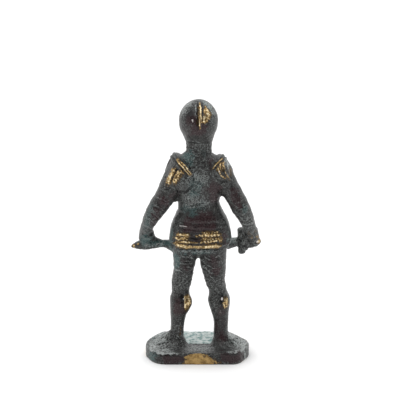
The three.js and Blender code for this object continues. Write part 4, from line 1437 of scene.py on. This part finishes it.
def chalk_between_feet():
    """The chalky bloom on the low ground between the feet, where polish and water stood."""
    x, y = in_photo(points).T
    up = soft_step((normals[:, 2] - 0.3) / 0.3) * (points[:, 1] < GROUND_EDGE + 0.15)
    spread = BLOOM_SPREAD + 6 * noise(points, 1.4, 2.2)
    return up * (points[:, 2] < PLINTH_THICKNESS + 0.1) * soft_step((spread - np.abs(x - BLOOM_MIDDLE)) / 8)


def hidden():
    """1 where the photograph doesn't look."""
    return 1 - soft_step((normals @ towards_camera + 0.05) / 0.2)


def front_wear():
    """On the hidden side a finger rubs what stands well out: visor, knuckles, knees, hem, toes and sword."""
    uneven = soft_step((noise(points, 1.3, 7.3) + 0.5) / 0.8)
    return 0.66 * hidden() * uneven * soft_step((standing_proud(60, 0.2) - 0.42) / 0.5)


def front_cloud(size, shift):
    """Clouds about so many millimetres across, on the hidden side alone."""
    return hidden() * soft_step((noise(points, size, shift) + 0.2) / 0.8)


# %% Write the masks, then scale the mesh to metres
proud = standing_proud(10, 0.05)
# The hollow mask is painted shade, the glints' mask painted highlights, the dust mask dust and painted sheen.
masks = {
    "rubbed": np.maximum(painted(RUBBED_LINES, ragged=1), front_wear()),
    "filed": patch_on_wall() * (points[:, 2] < PLINTH_THICKNESS - 0.02),
    "painted_highlight": painted(PAINTED_HIGHLIGHTS, ragged=0.4),
    "hollow": painted(PAINTED_SHADE_LINES, ragged=1),
    "chalk": chalk_between_feet(),
    "dust_and_sheen": painted(DUST_AND_SHEEN_LINES, ragged=1.5),
    "verdigris": np.maximum(painted(VERDIGRIS_LINES, ragged=3), 0.45 * front_cloud(2.2, 5.1)),
    "brown": np.maximum(painted(BROWN_LINES, ragged=3), 0.8 * front_cloud(2.8, 9.9)),
    "proud": proud,
}
for name, values in masks.items():
    layer = thinned.attributes.new(name, "FLOAT", "POINT")
    layer.data.foreach_set("value", values.astype(np.float32))
    print(f"{name}: mean {values.mean():.3f}")
write_points(thinned, points * MM)
thinned.polygons.foreach_set("use_smooth", [True] * len(thinned.polygons))
thinned.update()

# %% [markdown]
# ## Building shader nodes
#
# Each effect is a node group with named inputs and outputs, so that it can be read, and placed again, by
# name. Groups only work out masks, colours and heights. The shader itself stays in the material.

# %% Node helpers
class Nodes:
    """A node tree with short ways to add and join nodes."""

    def __init__(self, tree):
        self.tree = tree

    def feed(self, socket, value):
        """Joins a socket to another, or gives it a plain number or colour."""
        if isinstance(value, bpy.types.NodeSocket):
            self.tree.links.new(value, socket)
        else:
            socket.default_value = (*value, 1) if socket.type == "RGBA" else value

    def add(self, kind, inputs=None, **settings):
        node = self.tree.nodes.new(kind)
        for key, value in settings.items():
            setattr(node, key, value)
        for key, value in (inputs or {}).items():
            self.feed(node.inputs[key], value)
        return node

    def group(self, name, where, **inputs):
        """A node group's outputs, by its name. An underscore in an input's name stands for a space."""
        named = {key.replace("_", " "): value for key, value in inputs.items()}
        tree = bpy.data.node_groups[name]
        return self.add("ShaderNodeGroup", {"Coordinates": where, **named}, node_tree=tree).outputs

    def math(self, operation, a, b=0.0, c=0.0, clamp=False):
        node = self.add("ShaderNodeMath", {0: a, 1: b, 2: c}, operation=operation, use_clamp=clamp)
        return node.outputs[0]

    def between(self, value, low, high):
        """0 at low, 1 at high, smooth between and level beyond. low may be the larger of the two."""
        inputs = {"Value": value, "From Min": low, "From Max": high}
        return self.add("ShaderNodeMapRange", inputs, interpolation_type="SMOOTHSTEP").outputs[0]

    def blend(self, share, first, second):
        """From one colour to another by a share."""
        mix = self.add("ShaderNodeMix", {"Factor": share}, data_type="RGBA")
        for key, value in (("A", first), ("B", second)):
            self.feed(next(s for s in mix.inputs if s.name == key and s.type == "RGBA"), value)
        return next(s for s in mix.outputs if s.type == "RGBA")

    def noise(self, scale, detail, where, roughness=0.5):
        inputs = {"Vector": where, "Scale": scale, "Detail": detail, "Roughness": roughness}
        return self.add("ShaderNodeTexNoise", inputs).outputs["Fac"]

    def attribute(self, name):
        return self.add("ShaderNodeAttribute", attribute_name=name).outputs["Fac"]


def new_group(name, inputs, outputs):
    """A new node group: its nodes, the sockets that come in, and the node that takes what goes out."""
    tree = bpy.data.node_groups.new(name, "ShaderNodeTree")
    for label, kind, default in inputs:
        socket = tree.interface.new_socket(label, in_out="INPUT", socket_type=f"NodeSocket{kind}")
        if default is not None:
            socket.default_value = default
    for label, kind in outputs:
        tree.interface.new_socket(label, in_out="OUTPUT", socket_type=f"NodeSocket{kind}")
    nodes = Nodes(tree)
    return nodes, nodes.add("NodeGroupInput").outputs, nodes.add("NodeGroupOutput")


# %% [markdown]
# ## Patina
#
# Patina isn't one colour. Copper in the brass turns green-grey where air reaches it, purple-brown where oil
# and dirt sit, and chalky green where water stood. A single noise between two colours would look like
# paint. So broad clouds choose between dark and brown, verdigris collects where its mask says, and fine
# speckle breaks all of it up: pale dust clings to what stands proud, and soot fills what lies low.

# %% Patina colours as a node group
# Thick dust's pale colour also paints sheen on some rims; soot's near-black also paints shade in hollows.
DUST, THICK_DUST_AND_SHEEN, SOOT_AND_SHADE = (0.18, 0.195, 0.187), (0.47, 0.5, 0.49), (0.005, 0.005, 0.0055)

nodes, given, out = new_group(
    "Patina Colour",
    [
        ("Coordinates", "Vector", None),
        ("Dark", "Color", (0.03, 0.0295, 0.0285, 1)),
        ("Brown", "Color", (0.038, 0.021, 0.0225, 1)),
        ("Verdigris", "Color", (0.044, 0.099, 0.097, 1)),
        ("Brown Mask", "Float", 0.0),
        ("Verdigris Mask", "Float", 0.0),
        ("Dust Mask", "Float", 0.0),
        ("Proud", "Float", 0.0),
        ("Cloud Size", "Float", 420.0),
        ("Speckle Size", "Float", 5000.0),
    ],
    [("Colour", "Color"), ("Speckle", "Float")],
)
clouds = nodes.noise(given["Cloud Size"], 3.0, given["Coordinates"])
speckle = nodes.noise(given["Speckle Size"], 1.0, given["Coordinates"], 0.9)
relief = nodes.math("MULTIPLY_ADD", given["Proud"], 0.11, speckle)
brown_share = nodes.between(nodes.math("MULTIPLY_ADD", given["Brown Mask"], 0.5, clouds), 0.6, 0.95)
colour = nodes.blend(brown_share, given["Dark"], given["Brown"])
bloom = nodes.math("MULTIPLY_ADD", given["Verdigris Mask"], 0.6, nodes.math("MULTIPLY", clouds, 0.35))
bloom = nodes.math("MULTIPLY_ADD", speckle, 0.5, bloom)
bloom = nodes.math("MULTIPLY", nodes.between(bloom, 0.5, 1.05), 0.85)
colour = nodes.blend(bloom, colour, given["Verdigris"])
dust = nodes.math("MULTIPLY_ADD", given["Brown Mask"], -0.2, relief)
# The dust mask lays pale dust, and on some rims and slopes painted sheen.
dust = nodes.math("MULTIPLY_ADD", given["Dust Mask"], 0.27, dust)
pale = nodes.blend(given["Dust Mask"], DUST, THICK_DUST_AND_SHEEN)
colour = nodes.blend(nodes.math("MULTIPLY", nodes.between(dust, 0.46, 0.8), 0.85), colour, pale)
dark = nodes.math("MULTIPLY", nodes.between(relief, 0.49, 0.3), 0.75)
colour = nodes.blend(dark, colour, SOOT_AND_SHADE)
nodes.feed(out.inputs["Colour"], colour)
nodes.feed(out.inputs["Speckle"], speckle)
print(f"Patina Colour: {len(nodes.tree.nodes)} nodes")

# %% [markdown]
# ## Rubbed metal
#
# The edge of a worn spot is never soft: it breaks into flecks, because the patina flakes off the tops of
# the grain first. So the soft mask is raised on ridges, broken by fine noise, and then cut quite sharply. A
# wider cut of the same value gives the brown fringe where the patina is only thin.

# %% Rubbed masks as a node group
nodes, given, out = new_group(
    "Rubbed Metal",
    [
        ("Coordinates", "Vector", None),
        ("Mask", "Float", 0.0),
        ("Proud", "Float", 0.0),
        ("Ridge Bias", "Float", 0.3),
        ("Fleck Size", "Float", 4600.0),
        ("Fleck Depth", "Float", 2.2),
    ],
    [("Bare", "Float"), ("Fringe", "Float")],
)
flecks = nodes.noise(given["Fleck Size"], 4.0, given["Coordinates"], 0.6)
flecks = nodes.math("MULTIPLY", nodes.math("SUBTRACT", flecks, 0.5), given["Fleck Depth"])
level = nodes.math("MAXIMUM", given["Proud"], -0.4)
level = nodes.math("MULTIPLY_ADD", level, given["Ridge Bias"], given["Mask"])
level = nodes.math("MULTIPLY", nodes.math("ADD", level, flecks), nodes.between(given["Mask"], 0.05, 0.3))
nodes.feed(out.inputs["Bare"], nodes.between(level, 0.4, 0.66))
nodes.feed(out.inputs["Fringe"], nodes.between(level, 0.1, 0.4))
print(f"Rubbed Metal: {len(nodes.tree.nodes)} nodes")

# %% [markdown]
# ## Fine pitting
#
# Below the grain that is modelled, the metal is pitted too finely for geometry. Two scales of noise add up
# to a height, which a bump turns into shading alone.

# %% Pitting as a node group
nodes, given, out = new_group(
    "Fine Pitting",
    [("Coordinates", "Vector", None), ("Pit Size", "Float", 5200.0), ("Lump Size", "Float", 1900.0)],
    [("Height", "Float")],
)
pits = nodes.noise(given["Pit Size"], 3.0, given["Coordinates"], 0.6)
lumps = nodes.noise(given["Lump Size"], 2.0, given["Coordinates"])
height = nodes.math("MULTIPLY_ADD", lumps, 0.7, nodes.math("MULTIPLY", pits, 0.5))
nodes.feed(out.inputs["Height"], height)
print(f"Fine Pitting: {len(nodes.tree.nodes)} nodes")

# %% [markdown]
# ## The patinated brass
#
# The finish goes on in the order in which it came about on the metal. First the patina, then the brown
# fringe and the bare brass of the worn spots over it, and then the chalky bloom. Painted shade and painted
# highlights go on last: near-black in the deepest hollows and creases, near-white at the glints. There could
# be one material for each of them, but on this casting they run into each other, so one material reads the
# masks and blends. Only bare brass counts as metal, because patina is a crust of minerals.

# %% Bare brass in its tones
BRASS_DULL, BRASS, BRASS_POLISHED = (0.1, 0.062, 0.028), (0.46, 0.31, 0.13), (0.92, 0.8, 0.54)
FILED_DARK, FILED_LIGHT = (0.21, 0.13, 0.047), (0.47, 0.31, 0.12)


def rubbed_brass(nodes, where, proud, worn):
    """Dull in the low grain, polished on what stands proud and where a spot is worn most."""
    upper = nodes.math("MINIMUM", nodes.math("MAXIMUM", proud, -0.5), 0.6)
    mottle = nodes.math("MULTIPLY_ADD", nodes.noise(3800, 2.0, where, 0.6), 1.35, -0.175)
    tone = nodes.math("MULTIPLY_ADD", upper, 0.35, mottle)
    tone = nodes.math("MULTIPLY_ADD", worn, 0.6, tone)
    brass = nodes.blend(nodes.between(tone, 0.66, 1.12), BRASS_DULL, BRASS)
    return nodes.blend(nodes.between(tone, 0.99, 1.33), brass, BRASS_POLISHED)


def filed_brass(nodes, where):
    """The bare patch on the plinth's wall, in broader and duller tones."""
    tone = nodes.noise(1100, 3.0, where, 0.7)
    return nodes.blend(nodes.between(tone, 0.36, 0.62), FILED_DARK, FILED_LIGHT)


# %% Chalky bloom and roughness
CHALK_THIN, CHALK_THICK = (0.16, 0.28, 0.265), (0.58, 0.64, 0.62)


def with_chalk(nodes, where, speckle, colour):
    """A colour under the chalky bloom, which lies in thin and thick banks and is broken up by the speckle."""
    chalk = nodes.math("MULTIPLY_ADD", speckle, 0.9, nodes.attribute("chalk"))
    banks = nodes.between(nodes.noise(1300, 2.0, where, 0.6), 0.36, 0.6)
    chalky = nodes.blend(banks, CHALK_THIN, CHALK_THICK)
    return nodes.blend(nodes.math("MULTIPLY", nodes.between(chalk, 0.95, 1.4), 0.9), colour, chalky)


def roughness_of_finish(nodes, speckle):
    """Matt where it is green and on the paler specks, glossier where oil lies and in the painted shade of
    hollows.
    """
    matt = nodes.math("MULTIPLY_ADD", nodes.attribute("verdigris"), 0.2, speckle)
    roughness = nodes.math("MULTIPLY_ADD", matt, 0.44, 0.15)
    roughness = nodes.math("MULTIPLY_ADD", nodes.attribute("brown"), -0.12, roughness)
    return nodes.math("MULTIPLY_ADD", nodes.attribute("hollow"), -0.12, roughness)


# %% The material
FRINGE, HIGHLIGHT_WHITE = (0.06, 0.038, 0.018), (0.7, 0.66, 0.64)
PATINA_GLOSS, PIT_STRENGTH, PIT_DEPTH = 0.25, 0.9, 0.00006


def patinated_brass():
    material = bpy.data.materials.new("patinated_brass")
    material.use_nodes = True
    nodes = Nodes(material.node_tree)
    where = nodes.add("ShaderNodeTexCoord").outputs["Object"]
    proud, worn, filed_off = (nodes.attribute(name) for name in ("proud", "rubbed", "filed"))
    patina = nodes.group(
        "Patina Colour",
        where,
        Brown_Mask=nodes.attribute("brown"),
        Verdigris_Mask=nodes.attribute("verdigris"),
        Dust_Mask=nodes.attribute("dust_and_sheen"),
        Proud=proud,
    )
    rubbed = nodes.group("Rubbed Metal", where, Mask=worn, Proud=proud, Ridge_Bias=0.35)
    filed = nodes.group("Rubbed Metal", where, Mask=filed_off, Proud=proud, Ridge_Bias=0.15, Fleck_Depth=1.2)

    colour = patina["Colour"]
    for fringe in (rubbed["Fringe"], filed["Fringe"]):
        colour = nodes.blend(nodes.math("MULTIPLY", fringe, 0.8), colour, FRINGE)
    colour = nodes.blend(filed["Bare"], colour, filed_brass(nodes, where))
    colour = nodes.blend(rubbed["Bare"], colour, rubbed_brass(nodes, where, proud, worn))
    colour = with_chalk(nodes, where, patina["Speckle"], colour)
    # Painted shade: the hollow mask turns the deepest hollows and creases near-black.
    colour = nodes.blend(nodes.math("MULTIPLY", nodes.attribute("hollow"), 0.9), colour, SOOT_AND_SHADE)
    # Painted highlight: near-white and not metallic where the glints are.
    painted_highlight = nodes.between(nodes.attribute("painted_highlight"), 0.3, 0.6)
    colour = nodes.blend(painted_highlight, colour, HIGHLIGHT_WHITE)

    bare = nodes.math("MAXIMUM", rubbed["Bare"], nodes.math("MULTIPLY", filed["Bare"], 0.6))
    bare = nodes.math("SUBTRACT", bare, painted_highlight, clamp=True)
    pits = nodes.group("Fine Pitting", where)["Height"]
    bump = nodes.add("ShaderNodeBump", {"Strength": PIT_STRENGTH, "Distance": PIT_DEPTH, "Height": pits})
    shader = material.node_tree.nodes["Principled BSDF"]
    shader.inputs["Specular IOR Level"].default_value = PATINA_GLOSS
    nodes.feed(shader.inputs["Base Color"], colour)
    nodes.feed(shader.inputs["Roughness"], roughness_of_finish(nodes, patina["Speckle"]))
    nodes.feed(shader.inputs["Metallic"], bare)
    nodes.feed(shader.inputs["Normal"], bump.outputs["Normal"])
    return material


thinned.materials.append(patinated_brass())
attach(knight, "root")
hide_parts("knight_statue")
print(f"patinated brass: {len(thinned.materials[0].node_tree.nodes)} nodes")

# %% [markdown]
# ## Floor, light and camera
#
# The light is that of a white tent. Its open end, behind the camera, is the only dark thing that the metal
# can mirror: that is why surfaces that face the camera are dark, and the edges that turn away from it are
# pale. So the surroundings here are white with one dim end. A large soft light hangs overhead, and a small
# weak one to the side stands for a window. The floor is bright enough to go white, and the camera is a long
# lens far away, because the photograph hardly narrows with distance.

# %% Stage
FLOOR_SIZE = 1.6
PAPER_WHITE, PAPER_ROUGHNESS = (0.98, 0.98, 0.98), 0.9

bpy.ops.mesh.primitive_plane_add(size=FLOOR_SIZE)
floor = bpy.context.object
floor.name = "floor"
paper = bpy.data.materials.new("white_paper")
paper.use_nodes = True
paper_shader = paper.node_tree.nodes["Principled BSDF"]
paper_shader.inputs["Base Color"].default_value = (*PAPER_WHITE, 1)
paper_shader.inputs["Roughness"].default_value = PAPER_ROUGHNESS
floor.data.materials.append(paper)
print(f"floor: white paper, {FLOOR_SIZE} m square")

# %% Light
AIM = np.array([-0.39, 0, 24.2]) * MM
TENT, TENT_STRENGTH, DIM_END = (1, 1, 1), 1.3, (0.05, 0.05, 0.05)

world = bpy.data.worlds.new("studio")
world.use_nodes = True
nodes = Nodes(world.node_tree)
direction = nodes.add("ShaderNodeTexCoord").outputs["Generated"]
two_ways = {0: direction, 1: tuple(towards_camera)}
near_dim_end = nodes.add("ShaderNodeVectorMath", two_ways, operation="DOT_PRODUCT").outputs["Value"]
lit = nodes.between(near_dim_end, 0.75, 0.0)
lit = nodes.math("MAXIMUM", lit, nodes.add("ShaderNodeLightPath").outputs["Is Camera Ray"])
background = world.node_tree.nodes["Background"]
background.inputs["Strength"].default_value = TENT_STRENGTH
nodes.feed(background.inputs["Color"], nodes.blend(lit, DIM_END, TENT))
bpy.context.scene.world = world


def softbox(name, azimuth, elevation, distance, size, power):
    """A square area light that points at the figure. Azimuth 0 is in front of it, 180 behind it."""
    turn, rise = math.radians(azimuth), math.radians(elevation)
    away = np.array([math.sin(turn) * math.cos(rise), -math.cos(turn) * math.cos(rise), math.sin(rise)])
    data = bpy.data.lights.new(name, "AREA")
    data.size, data.energy = size, power
    lamp = bpy.data.objects.new(name, data)
    bpy.context.scene.collection.objects.link(lamp)
    lamp.location = AIM + away * distance
    lamp.rotation_mode = "QUATERNION"
    lamp.rotation_quaternion = Vector(away).to_track_quat("Z", "Y")
    print(f"{name}: {size} m wide, {distance} m away")


softbox("overhead", 165, 74, 0.35, 0.42, 1.0)
softbox("side_window", 118, 35, 0.4, 0.16, 0.12)

# %% Camera
FRAME_PIXELS = 400
LENS, SENSOR = 800.0, 36.0
frame_width = FRAME_PIXELS / PIXELS_PER_MM * MM
distance = frame_width * LENS / SENSOR
camera_data = bpy.data.cameras.new("camera")
camera_data.lens, camera_data.sensor_width = LENS, SENSOR
camera_data.clip_start, camera_data.clip_end = distance * 0.05, distance * 20
camera = bpy.data.objects.new("camera", camera_data)
bpy.context.scene.collection.objects.link(camera)
camera.location = AIM + towards_camera * distance
camera.rotation_mode = "QUATERNION"
camera.rotation_quaternion = Vector(towards_camera).to_track_quat("Z", "Y")
bpy.context.scene.camera = camera
bpy.context.scene.view_settings.view_transform = "Standard"
print(f"camera {distance:.2f} m away, its frame {frame_width / MM:.1f} mm wide")
